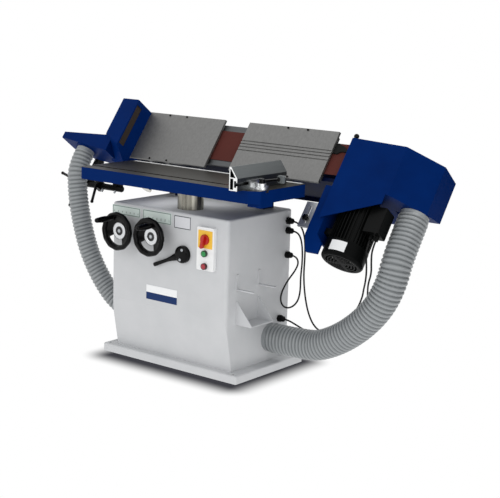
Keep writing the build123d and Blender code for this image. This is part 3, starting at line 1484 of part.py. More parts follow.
# Left hose: from under the chute, falling in front of the end rail to the left wall
left_hose_points = (
    at_rest(collar_x, collar_b, collar_bottom),
    at_rest(collar_x, collar_b, collar_bottom - left_hose_lead),
    (-776.0, -80.0, 740.0),
    (-760.0, -80.0, 637.0),
    (-737.0, -75.0, 535.0),
    (-705.0, -68.0, 430.0),
    (-661.0, -55.0, 335.0),
    (-609.0, -40.0, 252.0),
    (-554.0, -24.0, 187.0),
    (-half_cabinet - left_hose_end, left_inlet_y, inlet_height),
    (-half_cabinet, left_inlet_y, inlet_height),
)
save("hose_left", ribbed_hose(left_hose_points, left_hose_radius, left_hose_valley, left_hose_bore))

# Cables: gland one to the motor, glands two and three by way of a slack loop, low gland to the motor
motor_gland = at_rest(terminal_gland_xs[0], terminal_b, terminal_end)
motor_lead = at_rest(terminal_gland_xs[0], terminal_b, terminal_end - cable_lead)
second_gland = at_rest(terminal_gland_xs[1], terminal_b, terminal_end)
second_lead = at_rest(terminal_gland_xs[1], terminal_b, terminal_end - cable_lead)
cable_one = (
    (gland_end, gland_y, gland_heights[0]),
    (gland_end + gland_lead, gland_y, gland_heights[0]),
    (438.0, 180.0, 662.0),
    (453.0, 182.0, 610.0),
    (455.0, 184.0, 530.0),
    (450.0, 186.0, 440.0),
    (460.0, 187.0, 350.0),
    (483.0, 187.0, 265.0),
    (520.0, 188.0, 205.0),
    (575.0, 190.0, 183.0),
    (645.0, 192.0, 207.0),
    (712.0, 186.0, 268.0),
    (770.0, 165.0, 345.0),
    (808.0, 138.0, 405.0),
    (840.0, 95.0, 455.0),
    (876.0, 48.0, 500.0),
    (908.0, 2.0, 556.0),
    (922.0, -26.0, 613.0),
    motor_lead,
    motor_gland,
)
save("cable_1", cable(cable_one))
cable_two = (
    (gland_end, gland_y, gland_heights[1]),
    (gland_end + gland_lead, gland_y, gland_heights[1]),
    (430.0, 180.0, 618.0),
    (440.0, 182.0, 570.0),
    (441.0, 184.0, 500.0),
    (434.0, 185.0, 430.0),
    (438.0, 182.0, 360.0),
    (432.0, 170.0, 310.0),
    (408.0, 148.0, 282.0),
    (382.0, 128.0, 286.0),
    (368.0, 120.0, 318.0),
    (370.0, 128.0, 360.0),
    (386.0, 148.0, 410.0),
    (414.0, 170.0, 462.0),
    (426.0, 177.0, 500.0),
    (gland_end + return_lead, gland_y, gland_heights[2]),
    (gland_end, gland_y, gland_heights[2]),
)
save("cable_2", cable(cable_two))
cable_three = (
    (gland_end, low_gland_y, low_gland_height),
    (gland_end + low_gland_lead, low_gland_y, low_gland_height),
    (442.0, 146.0, 210.0),
    (484.0, 168.0, 184.0),
    (537.0, 192.0, 166.0),
    (602.0, 206.0, 168.0),
    (672.0, 204.0, 202.0),
    (735.0, 196.0, 264.0),
    (790.0, 180.0, 337.0),
    (828.0, 150.0, 394.0),
    (859.0, 98.0, 444.0),
    (893.0, 44.0, 496.0),
    (933.0, 2.0, 555.0),
    (947.0, -27.0, 613.0),
    second_lead,
    second_gland,
)
save("cable_3", cable(cable_three))
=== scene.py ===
import json
import math

import bmesh
import bpy
import numpy as np
from mathutils import Matrix, Vector


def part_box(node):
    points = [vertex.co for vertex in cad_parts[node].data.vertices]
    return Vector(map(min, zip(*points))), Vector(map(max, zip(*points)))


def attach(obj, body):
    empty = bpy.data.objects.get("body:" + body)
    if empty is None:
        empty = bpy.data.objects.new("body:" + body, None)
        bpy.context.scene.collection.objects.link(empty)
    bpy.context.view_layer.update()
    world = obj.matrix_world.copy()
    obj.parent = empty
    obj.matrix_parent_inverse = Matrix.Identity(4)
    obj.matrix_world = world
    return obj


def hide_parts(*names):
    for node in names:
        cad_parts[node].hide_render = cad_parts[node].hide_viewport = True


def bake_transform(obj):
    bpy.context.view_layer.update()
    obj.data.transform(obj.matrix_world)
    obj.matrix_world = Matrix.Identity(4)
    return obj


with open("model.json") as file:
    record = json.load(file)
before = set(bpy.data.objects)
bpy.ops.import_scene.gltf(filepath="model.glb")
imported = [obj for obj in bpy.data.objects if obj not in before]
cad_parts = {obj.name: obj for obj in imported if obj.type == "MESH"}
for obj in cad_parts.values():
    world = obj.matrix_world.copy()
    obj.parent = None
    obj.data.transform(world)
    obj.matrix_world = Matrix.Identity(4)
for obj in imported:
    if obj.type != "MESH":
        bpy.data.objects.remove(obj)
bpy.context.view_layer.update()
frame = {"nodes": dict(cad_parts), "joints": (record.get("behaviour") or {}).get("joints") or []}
nodes = frame["nodes"]
scene = bpy.context.scene
scene.view_settings.view_transform = "Standard"


# Studio: a pale floor under three large soft lamps and a small one below the table.
# The floor keeps the soft shadow round the machine's base, deepened there by painted shadow, and
# fades to white away from it.
# Two black cards outside the picture give the bright metal something dark to mirror.


def linear(code):
    """An sRGB hex colour as linear RGBA: low channels over 12.92, the rest to the power 2.4."""
    c = np.array([int(code[i:i + 2], 16) for i in (0, 2, 4)]) / 255
    c = np.where(c <= 0.04045, c / 12.92, ((c + 0.055) / 1.055) ** 2.4)
    return (*c, 1.0)


def add(tree, kind, inputs=None, out=0, **settings):
    """Add one node with its settings, and set its inputs or join them to sockets.
    It gives back one output socket, or all of them when out is None. A colour Mix has its factor
    at input 0, its colours at 6 and 7 and its result at output 2; a plain Mix has its values at
    2 and 3."""
    made = tree.nodes.new("ShaderNode" + kind)
    for key, value in settings.items():
        setattr(made, key, value)
    for key, value in (inputs or {}).items():
        if isinstance(value, bpy.types.NodeSocket):
            tree.links.new(value, made.inputs[key])
        else:
            made.inputs[key].default_value = value
    return made.outputs if out is None or not made.outputs else made.outputs[out]


def blank(name):
    """A new material with an empty node tree."""
    made = bpy.data.materials.new(name)
    made.use_nodes = True
    made.node_tree.nodes.clear()
    return made, made.node_tree


def place(name, data):
    """Put finished data into the scene as an object at the origin."""
    made = bpy.data.objects.new(name, data)
    scene.collection.objects.link(made)
    return made


def flat_card(name, corners, finish):
    """A flat sheet between four corners, with its finish."""
    data = bpy.data.meshes.new(name)
    data.from_pydata(corners, [], [(0, 1, 2, 3)])
    data.materials.append(finish)
    made = place(name, data)
    return made


# Walls: white to the camera and in mirrors and glass, and dimmer as a light on the machine.
wall_light = 0.74
sky = bpy.data.worlds.new("studio_walls")
sky.use_nodes = True
tree = sky.node_tree
tree.nodes.clear()
path = add(tree, "LightPath", out=None)
seen = add(tree, "Math", {0: path["Is Camera Ray"], 1: path["Is Glossy Ray"]}, operation="MAXIMUM")
seen = add(tree, "Math", {0: seen, 1: path["Is Transmission Ray"]}, operation="MAXIMUM")
dim = add(tree, "Background", {"Color": linear("ffffff"), "Strength": wall_light})
bright = add(tree, "Background", {"Color": linear("ffffff"), "Strength": 1.0})
walls = add(tree, "MixShader", {0: seen, 1: dim, 2: bright})
add(tree, "OutputWorld", {"Surface": walls})
scene.world = sky

# Floor paper: to the camera, a dark matt grey within a rectangle round the base, where shadows
# fall, as painted shadow that deepens them. Away from that, and to every other ray, it is an even
# white glow.
shade_shift, fade_width, floor_half = (0.09, -0.035, 0), 0.15, 30
base_low, base_high = (np.array(corner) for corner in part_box("base_frame"))
shade_low = base_low + shade_shift
shade_half = (base_high - shade_low) * (0.5, 0.5, 0)
floor_paper, tree = blank("pale_floor_paper")
reach = add(tree, "TexCoord", out="Object")
reach = add(tree, "VectorMath", {0: reach, 1: (shade_low + base_high) / 2}, operation="SUBTRACT")
reach = add(tree, "VectorMath", {0: reach}, operation="ABSOLUTE")
reach = add(tree, "VectorMath", {0: reach, 1: shade_half}, operation="SUBTRACT")
reach = add(tree, "VectorMath", {0: reach, 1: (0, 0, 0)}, operation="MAXIMUM")
reach = add(tree, "VectorMath", {0: reach, 1: (1, 1, 0)}, operation="MULTIPLY")
away = add(tree, "VectorMath", {0: reach}, "Value", operation="LENGTH")
near = add(tree, "MapRange", {
    "Value": away, "From Min": 0.0, "From Max": fade_width, "To Min": 1.0, "To Max": 0.0},
    interpolation_type="SMOOTHSTEP")
seen = add(tree, "LightPath", out="Is Camera Ray")
shade = add(tree, "Math", {0: seen, 1: near}, operation="MULTIPLY")
# Painted shadow: the floor's colour near the base is a dark grey.
painted_shadow_grey = add(tree, "BsdfDiffuse", {"Color": linear("4c4c52")})
glow = add(tree, "Emission", {"Color": linear("ffffff"), "Strength": 1.0})
paper = add(tree, "MixShader", {0: shade, 1: glow, 2: painted_shadow_grey})
add(tree, "OutputMaterial", {"Surface": paper})
corners = [(x * floor_half, y * floor_half, 0) for x, y in ((-1, -1), (1, -1), (1, 1), (-1, 1))]
flat_card("floor", corners, floor_paper)

black_felt, tree = blank("black_felt_card")
cloth = add(tree, "BsdfDiffuse", {"Color": linear("0a0a0a")})
add(tree, "OutputMaterial", {"Surface": cloth})
for name, darkens, corners in (
    ("right_black_card", True,
     ((2.4, 0.2, 0.4), (2.4, 0.2, 2.4), (1.2, 2.6, 2.4), (1.2, 2.6, 0.4))),
    ("front_black_card", False,
     ((0.5, -4.6, 0.0), (0.5, -4.6, 1.0), (-0.9, -4.6, 1.0), (-0.9, -4.6, 0.0))),
):
    card = flat_card(name, corners, black_felt)
    card.visible_camera = False
    card.visible_diffuse = darkens
    card.visible_shadow = False

machine_middle = (0.1, 0, 0.6)
for name, at, size, power, aim, mirrored in (
    ("key_lamp", (-0.6, -5.0, 2.6), 3.0, 34, machine_middle, True),
    ("top_lamp", (1.5, 1.9, 4.4), 2.0, 60, machine_middle, True),
    ("side_lamp", (4.4, -2.8, 1.0), 2.5, 32, machine_middle, True),
    ("low_lamp", (-0.05, -0.08, 0.845), 0.34, 0.56, (-0.05, -0.08, 0.7), False),
):
    light = bpy.data.lights.new(name, "AREA")
    light.size = size
    light.energy = power
    lamp = place(name, light)
    lamp.location = at
    lamp.rotation_euler = (Vector(aim) - Vector(at)).to_track_quat("-Z", "Y").to_euler()
    lamp.visible_camera = False
    lamp.visible_glossy = mirrored

# Camera: turned from straight ahead by yaw, pitch and roll, as found for the photograph.
yaw, pitch, roll = np.radians((37.443, 11.276, 1.802))
eye, focal_px, picture_px, sensor_mm = (3.6765, -4.4455, 1.6825), 1235.54, 500, 36
ahead = np.array((
    -math.sin(yaw) * math.cos(pitch), math.cos(yaw) * math.cos(pitch), -math.sin(pitch)))
level = np.array((math.cos(yaw), math.sin(yaw), 0))
steep = np.cross(level, ahead)
right = math.cos(roll) * level + math.sin(roll) * steep
over = math.cos(roll) * steep - math.sin(roll) * level
camera = place("camera", bpy.data.cameras.new("camera"))
camera.data.sensor_width = sensor_mm
camera.data.lens = focal_px / picture_px * sensor_mm
camera.matrix_world = Matrix(np.r_[np.c_[right, over, -ahead, eye], [(0, 0, 0, 1)]].tolist())
scene.camera = camera


# Base and cabinet: a welded steel plinth and a folded sheet cabinet with a rack on its right wall.
# All of it is powder coated in light grey, an even satin skin with a faint orange peel.


def coated(name, colour, shade, peel_mm, rough, specular=0.5):
    """A sprayed finish: two near tones mixed by slow noise of 180 mm, and a bump of round cells of
    the peel's size."""
    made, tree = blank(name)
    spot = add(tree, "TexCoord", out="Object")
    slow = add(tree, "TexNoise", {
        "Vector": spot, "Scale": 1000 / 180, "Detail": 4.0, "Roughness": 0.6})
    tone = add(tree, "MapRange", {"Value": slow, "From Min": 0.3, "From Max": 0.7})
    paint = add(tree, "Mix", {0: tone, 6: linear(shade), 7: linear(colour)}, 2, data_type="RGBA")
    peel = add(tree, "TexNoise", {"Vector": spot, "Scale": 1000 / peel_mm, "Detail": 2.0})
    skin = add(tree, "Bump", {"Height": peel, "Strength": 0.12, "Distance": 0.0006})
    gloss = add(tree, "MapRange", {"Value": slow, "To Min": rough - 0.05, "To Max": rough + 0.06})
    shader = add(tree, "BsdfPrincipled", {
        "Base Color": paint, "Roughness": gloss, "Normal": skin, "IOR": 1.5,
        "Specular IOR Level": specular})
    add(tree, "OutputMaterial", {"Surface": shader})
    return made


def dress(finish, *names):
    """Give CAD pieces their finish."""
    for name in names:
        nodes[name].data.materials.clear()
        nodes[name].data.materials.append(finish)


# Polyester powder on sheet steel: satin, with cells of 3 mm drawn coarse enough to show.
grey_powder = coated("grey_powder_coat", "cbccce", "c3c5c7", 3.0, 0.5, 0.35)
dress(grey_powder, "base_frame", "cabinet_shell", "rear_door", "side_rack")


# Rear door hardware: two pinned hinges and two quarter-turn latches of plated zinc on the door.
# Each is a turned piece; the latches have a raised button for a key.


def grid_mesh(name, points, closed=True, crease=35, marks=None):
    """A mesh over a grid of points: quads join neighbours in both directions, and a closed grid
    joins the ends of its second direction. Points that fall together, as at a pole, are merged, and
    faces are turned outwards. Marks keep one number for each point, which a material reads under
    the name groove_shade to paint shade into grooves."""
    n, m = points.shape[:2]
    index = np.arange(n * m).reshape(n, m)
    if closed:
        index = np.c_[index, index[:, :1]]
    quads = np.stack((index[:-1, :-1], index[1:, :-1], index[1:, 1:], index[:-1, 1:]), -1)
    data = bpy.data.meshes.new(name)
    data.from_pydata(points.reshape(-1, 3).tolist(), [], quads.reshape(-1, 4).tolist())
    if marks is not None:
        data.attributes.new("groove_shade", "FLOAT", "POINT").data.foreach_set("value", marks.ravel())
    work = bmesh.new()
    work.from_mesh(data)
    bmesh.ops.remove_doubles(work, verts=work.verts, dist=1e-6)
    bmesh.ops.dissolve_degenerate(work, edges=work.edges, dist=1e-7)
    bmesh.ops.recalc_face_normals(work, faces=work.faces)
    work.to_mesh(data)
    work.free()
    data.polygons.foreach_set("use_smooth", np.ones(len(data.polygons), bool))
    data.set_sharp_from_angle(angle=math.radians(crease))
    return data


def around(axis):
    """Two directions square to an axis and to each other."""
    axis = np.array(axis, float)
    first = np.cross(axis, (0, 0, 1) if abs(axis[2]) < 0.9 else (1, 0, 0))
    first /= np.linalg.norm(first)
    return first, np.cross(axis, first)


def fixed(name, data, finish, body):
    """A finished mesh with its material, riding on a body."""
    made = place(name, data)
    data.materials.append(finish)
    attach(made, body)
    return made


def turned(name, profile, at, axis, finish, body, sides=48, lobes=0, wave=0.0, span=None):
    """A body of revolution: each profile pair gives a radius and a way along the axis, carried
    round the axis. With lobes, the radius also rises and falls that many times round, by the wave's
    height. With a span of two angles in degrees it goes only part of the way round, and each end is
    closed by drawing the profile in to its middle."""
    profile = np.array(profile, float)
    a, b = around(axis)
    if span is None:
        t = np.linspace(0, 2 * math.pi, sides, endpoint=False)
    else:
        t = np.radians(np.linspace(*span, sides))
    ring = np.outer(np.cos(t), a) + np.outer(np.sin(t), b)
    radius, way = profile[:, None, 0], profile[:, None, 1:2]
    radius = radius + wave * np.cos(lobes * t)[None] * (radius > 4 * wave)
    points = np.array(at) + way * np.array(axis) + radius[..., None] * ring[None]
    if span is not None:
        ends = np.broadcast_to(points.mean(0), points.shape)
        points = np.concatenate((ends[:, :1], points, ends[:, -1:]), 1)
    return fixed(name, grid_mesh(name, points, closed=span is None), finish, body)


def metal(name, colour, shade, rough, line_mm, along, bump=0.1, cut_along=None):
    """A worked metal: fine lines drawn out along one direction vary the tone, the roughness and the
    height. Ends cut square to one axis, where the surface faces along it, are sawn bright."""
    made, tree = blank(name)
    spot = add(tree, "TexCoord", out="Object")
    stretch = [1000 / line_mm * (0.02 if i == along else 1.0) for i in range(3)]
    drawn = add(tree, "Mapping", {"Vector": spot, "Scale": stretch})
    lines = add(tree, "TexNoise", {"Vector": drawn, "Scale": 1.0, "Detail": 3.0})
    tone = add(tree, "Mix", {0: lines, 6: linear(shade), 7: linear(colour)}, 2, data_type="RGBA")
    if cut_along is not None:
        facing = add(tree, "SeparateXYZ", {0: add(tree, "TexCoord", out="Normal")}, cut_along)
        facing = add(tree, "Math", {0: facing}, operation="ABSOLUTE")
        sawn = add(tree, "Math", {0: facing, 1: 0.9}, operation="GREATER_THAN")
        tone = add(tree, "Mix", {0: sawn, 6: tone, 7: linear("f2f3f3")}, 2, data_type="RGBA")
    gloss = add(tree, "MapRange", {"Value": lines, "To Min": rough - 0.06, "To Max": rough + 0.08})
    height = add(tree, "Bump", {"Height": lines, "Strength": bump, "Distance": 0.0003})
    shader = add(tree, "BsdfPrincipled", {
        "Base Color": tone, "Metallic": 1.0, "Roughness": gloss, "Normal": height})
    add(tree, "OutputMaterial", {"Surface": shader})
    return made


# Zinc-plated steel: bluish bright, with a fine matt crystal.
zinc = metal("zinc_plate", "c9ccd0", "b4b8bc", 0.35, 2.0, 2)
door_low, door_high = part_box("rear_door")
latch_inset, pin_out = 0.03, 0.003
latch = ((0, 0.006), (0.006, 0.006), (0.0065, 0.004), (0.012, 0.004), (0.014, 0.002), (0.014, 0),
         (0, 0))
barrel = ((0, 0), (0.0042, 0), (0.005, 0.0008), (0.005, 0.0692), (0.0042, 0.07), (0, 0.07))
for name, height in (("low", 0.33), ("high", 0.61)):
    turned("door_latch_" + name, latch, (door_high.x - latch_inset, door_high.y, height), (0, 1, 0),
           zinc, "stand", sides=32)
    turned("door_hinge_" + name, barrel, (door_low.x, door_high.y + pin_out, height), (0, 0, 1),
           zinc, "stand", sides=24)


# Plates on the front wall: printed aluminium cards held by adhesive, bare of words.
# Two are pale scales with plain graduations, one is a framed white card, and one is a white card
# with a blue foot.


def printed(name, centre, size, ground, inset, line, ink, pitch=None, foot=None, split=0.0):
    """A printed card in X and Z: a ground colour, a frame line where the distance to an inset
    rectangle is small, upright graduations repeating at a pitch in the card's lower part, and a
    foot colour below a height. A line of no width leaves the card bare."""
    made, tree = blank(name)
    spot = add(tree, "TexCoord", out="Object")
    way = add(tree, "VectorMath", {0: spot, 1: (centre[0], 0, centre[1])}, operation="SUBTRACT")
    way = add(tree, "SeparateXYZ", {0: way}, None)
    grain = add(tree, "TexNoise", {"Vector": spot, "Scale": 1000 / 12, "Detail": 2.0})
    fresh = linear(ground)
    aged = (*(np.array(fresh[:3]) * 0.93), 1.0)
    colour = add(tree, "Mix", {0: grain, 6: aged, 7: fresh}, 2, data_type="RGBA")
    if foot:
        under = add(tree, "Math", {0: way["Z"], 1: split - centre[1]}, operation="LESS_THAN")
        colour = add(tree, "Mix", {0: under, 6: colour, 7: linear(foot)}, 2, data_type="RGBA")
    past_x = add(tree, "Math", {0: way["X"]}, operation="ABSOLUTE")
    past_x = add(tree, "Math", {0: past_x, 1: size[0] / 2 - inset}, operation="SUBTRACT")
    past_z = add(tree, "Math", {0: way["Z"]}, operation="ABSOLUTE")
    past_z = add(tree, "Math", {0: past_z, 1: size[1] / 2 - inset}, operation="SUBTRACT")
    past = add(tree, "Math", {0: past_x, 1: past_z}, operation="MAXIMUM")
    near = add(tree, "Math", {0: past}, operation="ABSOLUTE")
    inked = add(tree, "Math", {0: near, 1: line / 2}, operation="LESS_THAN")
    if pitch:
        swing = add(tree, "Math", {0: way["X"], 1: pitch / 2}, operation="PINGPONG")
        mark = add(tree, "Math", {0: swing, 1: line / 2}, operation="LESS_THAN")
        low = add(tree, "Math", {0: way["Z"], 1: -size[1] * 0.06}, operation="LESS_THAN")
        within = add(tree, "Math", {0: past, 1: -2 * inset}, operation="LESS_THAN")
        mark = add(tree, "Math", {0: mark, 1: low}, operation="MULTIPLY")
        mark = add(tree, "Math", {0: mark, 1: within}, operation="MULTIPLY")
        inked = add(tree, "Math", {0: inked, 1: mark}, operation="MAXIMUM")
    colour = add(tree, "Mix", {0: inked, 6: colour, 7: linear(ink)}, 2, data_type="RGBA")
    gloss = add(tree, "MapRange", {"Value": grain, "To Min": 0.28, "To Max": 0.4})
    shader = add(tree, "BsdfPrincipled", {
        "Base Color": colour, "Roughness": gloss, "IOR": 1.5, "Specular IOR Level": 0.2})
    add(tree, "OutputMaterial", {"Surface": shader})
    return made


def rounded(width, height, corner, steps=5):
    """The outline of a rectangle with round corners: four quarter circles, one after the other."""
    t = np.linspace(0, math.pi / 2, steps)
    turn = (np.arange(4)[:, None] * math.pi / 2 + t[None]).ravel()
    cx = np.repeat(np.array((1, -1, -1, 1)) * (width / 2 - corner), steps)
    cy = np.repeat(np.array((1, 1, -1, -1)) * (height / 2 - corner), steps)
    return np.c_[cx + corner * np.cos(turn), cy + corner * np.sin(turn)]


def slab(name, outline, at, across, up, depth, edge, finish, body):
    """A flat piece: an outline carried along its normal, drawn in by the edge's width at the front
    to ease its rim, and closed by a point in the middle of each face."""
    across, up = np.array(across, float), np.array(up, float)
    normal = np.cross(across, up)
    middle = outline.mean(0)
    half = np.abs(outline - middle).max(0)
    drawn_in = middle + (outline - middle) * (1 - edge / half)
    point = np.broadcast_to(middle, outline.shape)
    layers = ((point, 0), (outline, 0), (outline, depth - edge), (drawn_in, depth), (point, depth))
    points = np.array(at) + np.stack([
        np.outer(ring[:, 0], across) + np.outer(ring[:, 1], up) + normal * height
        for ring, height in layers])
    return fixed(name, grid_mesh(name, points), finish, body)


# Print on lacquered aluminium: an even pale ground that has yellowed a little. The lines are 3.4 mm
# wide, wider than real print, so that they show.
wall_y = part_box("cabinet_shell")[0].y
wide, tall = (1, 0, 0), (0, 0, 1)
card_depth, card_edge, card_corner = 0.0015, 0.0003, 0.003
scale_print = dict(ground="d3dfda", inset=0.004, line=0.0034, ink="6b7d78", pitch=0.025)
square_print = dict(ground="d9dade", inset=0.0019, line=0.0034, ink="3c4347")
name_print = dict(ground="f4f5f6", inset=0.0, line=0.0004, ink="c8ccd2", foot="0a2c60", split=0.342)
for name, centre, size, print_of in (
    ("tilt_scale", (-0.2615, 0.7065), (0.177, 0.045), scale_print),
    ("lift_scale", (-0.0685, 0.7025), (0.175, 0.055), scale_print),
    ("square_card", (0.086, 0.697), (0.098, 0.058), square_print),
    ("name_card", (-0.033, 0.3425), (0.190, 0.069), name_print),
):
    finish = printed(name + "_print", centre, size, **print_of)
    plate = slab(name, rounded(*size, card_corner), (centre[0], wall_y, centre[1]), wide, tall,
                 card_depth, card_edge, finish, "stand")
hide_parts("front_plates")


# Switch box: a white ABS moulding on the front wall with a yellow isolator plate and two buttons.
# The plastic is injection moulded, with a fine spark texture and a soft gloss. Each button sits in
# a collar painted a much darker copy of its own colour, as painted shade for the cap's shaded side.


def moulded(name, colour, rough, grain_mm=1.5, specular=0.5, shade_collar=None, groove_shade=None):
    """A moulded plastic: one colour with faint cloudy variation, and a spark texture of the grain's
    size. A shade collar gives two other colours in front of a depth in Y, below and above a height,
    as painted shade; a groove shade gives one where the mesh is marked, as painted shade in
    grooves."""
    made, tree = blank(name)
    spot = add(tree, "TexCoord", out="Object")
    cloud = add(tree, "TexNoise", {"Vector": spot, "Scale": 1000 / 30, "Detail": 3.0})
    full = linear(colour)
    deep = (*(np.array(full[:3]) * 0.86), 1.0)
    tone = add(tree, "Mix", {0: cloud, 6: deep, 7: full}, 2, data_type="RGBA")
    if shade_collar:
        depth, height, below, above = shade_collar
        way = add(tree, "SeparateXYZ", {0: spot}, None)
        front = add(tree, "Math", {0: way["Y"], 1: depth}, operation="LESS_THAN")
        high = add(tree, "Math", {0: way["Z"], 1: height}, operation="GREATER_THAN")
        ring = add(tree, "Mix", {0: high, 6: linear(below), 7: linear(above)}, 2, data_type="RGBA")
        tone = add(tree, "Mix", {0: front, 6: tone, 7: ring}, 2, data_type="RGBA")
    if groove_shade:
        marked = add(tree, "Attribute", out="Fac", attribute_name="groove_shade")
        tone = add(tree, "Mix", {0: marked, 6: tone, 7: linear(groove_shade)}, 2, data_type="RGBA")
    spark = add(tree, "TexNoise", {"Vector": spot, "Scale": 1000 / grain_mm, "Detail": 2.0})
    skin = add(tree, "Bump", {"Height": spark, "Strength": 0.08, "Distance": 0.0003})
    gloss = add(tree, "MapRange", {"Value": cloud, "To Min": rough - 0.04, "To Max": rough + 0.06})
    shader = add(tree, "BsdfPrincipled", {
        "Base Color": tone, "Roughness": gloss, "Normal": skin, "IOR": 1.5,
        "Specular IOR Level": specular})
    add(tree, "OutputMaterial", {"Surface": shader})
    return made


# Glossy ABS shows a soft highlight; the box is a clean white. Its collars, painted shade in dark
# copies of the buttons' colours, start just in front of the isolator plate's back, and the height
# lies between the two buttons.
collar_depth, between_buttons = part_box("isolator_plate")[1].y - 0.0003, 0.545
white_abs = moulded("white_abs", "f3f4f4", 0.35,
                    shade_collar=(collar_depth, between_buttons, "3a0d12", "08301b"))
yellow_abs = moulded("yellow_abs", "f8c437", 0.35)
red_abs = moulded("red_abs", "b8140f", 0.28)
green_abs = moulded("green_abs", "1c8f48", 0.28)
dusky_abs = moulded("dusky_red_abs", "a82e38", 0.3)
dress(white_abs, "switch_box")
dress(yellow_abs, "isolator_plate")
for name, body, finish, slot in (
    ("start_button", "start", green_abs, "green_plastic"),
    ("stop_button", "stop", dusky_abs, "red_plastic"),
):
    low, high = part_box(name)
    deep = high.y - low.y
    flange = deep - 0.005
    dome = ((0, 0), (0.005, 0.0002), (0.009, 0.0009), (0.0114, 0.0022), (0.0123, 0.0040),
            (0.0125, 0.006), (0.0125, flange), (0.0148, flange), (0.0148, deep), (0, deep))
    at = ((low.x + high.x) / 2, low.y, (low.z + high.z) / 2)
    button = turned(name + "_cap", dome, at, (0, 1, 0), finish, body)
    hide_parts(name)


# Isolator knob: a round skirt with a raised grip bar that has rounded ends, one red moulding.
# It rests turned, with the bar's longer pointer end low on the left.


def spoke(degrees):
    """A direction in the front wall's plane, at an angle from the X axis."""
    return np.array((math.cos(math.radians(degrees)), 0, math.sin(math.radians(degrees))))


pivots = {
    joint["name"]: np.array(joint["pos_m"]) for joint in frame["joints"] if "pos_m" in joint}
low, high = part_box("isolator_knob")
deep = high.y - low.y
centre = np.array((pivots["isolator_turn"][0], low.y, pivots["isolator_turn"][2]))
skirt = ((0, 0.0163), (0.0205, 0.0163), (0.0232, 0.0172), (0.024, 0.0195), (0.024, 0.024),
         (0.005, 0.0243), (0.005, deep), (0, deep))
knob = turned("isolator_skirt", skirt, centre, (0, 1, 0), red_abs, "isolator")
grip_angle, grip_shift, grip_height, grip_edge = 78, 0.008, 0.018, 0.002
grip_at = centre + (0, grip_height, 0) - grip_shift * spoke(grip_angle)
grip = slab("isolator_grip", rounded(0.064, 0.0145, 0.006), grip_at, spoke(grip_angle),
            spoke(grip_angle + 90), grip_height, grip_edge, red_abs, "isolator")
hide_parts("isolator_knob")


# Cable glands: black nylon, each a hexagon nut on the wall with a domed cap that grips its cable.
# Moulded nylon is nearly black with a low sheen.
black_nylon = moulded("black_nylon", "0a0a0b", 0.42, specular=0.12)
dress(black_nylon, "cable_glands")
nut_thickness = 0.012
cap_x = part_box("cable_glands")[0].x + nut_thickness
cap = ((0.0165, 0), (0.0165, 0.003), (0.0135, 0.004), (0.0132, 0.016), (0.011, 0.0205),
       (0.0075, 0.023), (0.0042, 0.0238))
gland_places = ((0.178, 0.689), (0.178, 0.643), (0.178, 0.527), (0.135, 0.227))
for number, (y, z) in enumerate(gland_places, 1):
    dome = turned("gland_cap_%d" % number, cap, (cap_x, y, z), (1, 0, 0), black_nylon, "stand",
                  sides=36, lobes=12, wave=0.0006)


# Suction sheet metal: spigots on the walls and the manifold between them inside the cabinet.
# They are rolled from zinc-plated sheet and spot welded.
dress(zinc, "hose_inlets", "dust_manifold", "dust_outlet")


# Column, sleeve and shafts: ground and polished steel with a thin film of oil.
# Polished round steel mirrors its surroundings in upright streaks; on the column and its sleeve,
# dark upright streaks in the colour are painted reflections.
polished = metal("polished_steel", "d2d0cb", "b3b0a9", 0.12, 1.5, 2, bump=0.03)
reflection_streaked_steel = metal("column_steel_painted_reflections", "c4c1b5", "35322b", 0.27, 16.0, 2, bump=0.03)
dress(reflection_streaked_steel, "table_column", "column_sleeve")
dress(polished, "lift_shaft", "tilt_shaft", "shaft_bushes", "motor_shaft", "tension_slide")


# Table: a ribbed grey iron casting with blue enamel on its sides. Its top and slot are planed and
# ground, dark with oil, and a bright strip is let into the rear edge.


def ground_top(name, top_height, slot_y, slot_half, slot_floor, bare, bare_dark, paint, paint_dark):
    """Ground iron above a height and inside the slot, enamel elsewhere: the bare metal has lines
    drawn out along X, 2 mm apart, and oily clouds of 220 mm."""
    made, tree = blank(name)
    spot = add(tree, "TexCoord", out="Object")
    way = add(tree, "SeparateXYZ", {0: spot}, None)
    above = add(tree, "Math", {0: way["Z"], 1: top_height}, operation="GREATER_THAN")
    in_slot = add(tree, "Math", {0: way["Y"], 1: slot_y, 2: slot_half}, operation="COMPARE")
    over_floor = add(tree, "Math", {0: way["Z"], 1: slot_floor}, operation="GREATER_THAN")
    in_slot = add(tree, "Math", {0: in_slot, 1: over_floor}, operation="MULTIPLY")
    bared = add(tree, "Math", {0: above, 1: in_slot}, operation="MAXIMUM")
    drawn = add(tree, "Mapping", {"Vector": spot, "Scale": (8, 1000 / 2, 8)})
    lines = add(tree, "TexNoise", {"Vector": drawn, "Scale": 1.0, "Detail": 3.0})
    cloud = add(tree, "TexNoise", {
        "Vector": spot, "Scale": 1000 / 220, "Detail": 5.0, "Roughness": 0.62})
    blend = add(tree, "Mix", {0: 0.35, 2: cloud, 3: lines})
    iron = add(tree, "Mix", {0: blend, 6: linear(bare_dark), 7: linear(bare)}, 2, data_type="RGBA")
    enamel = add(tree, "Mix", {0: cloud, 6: linear(paint_dark), 7: linear(paint)}, 2,
                 data_type="RGBA")
    colour = add(tree, "Mix", {0: bared, 6: enamel, 7: iron}, 2, data_type="RGBA")
    dull = add(tree, "MapRange", {"Value": blend, "To Min": 0.3, "To Max": 0.5})
    gloss = add(tree, "Mix", {0: bared, 2: 0.45, 3: dull})
    shine = add(tree, "Mix", {0: bared, 2: 0.025, 3: 0.5})
    bump = add(tree, "Bump", {"Height": lines, "Strength": 0.06, "Distance": 0.0003})
    metallic = add(tree, "Math", {0: bared, 1: 0.8}, operation="MULTIPLY")
    shader = add(tree, "BsdfPrincipled", {
        "Base Color": colour, "Metallic": metallic, "Roughness": gloss, "Normal": bump,
        "IOR": 1.5, "Specular IOR Level": shine})
    add(tree, "OutputMaterial", {"Surface": shader})
    return made


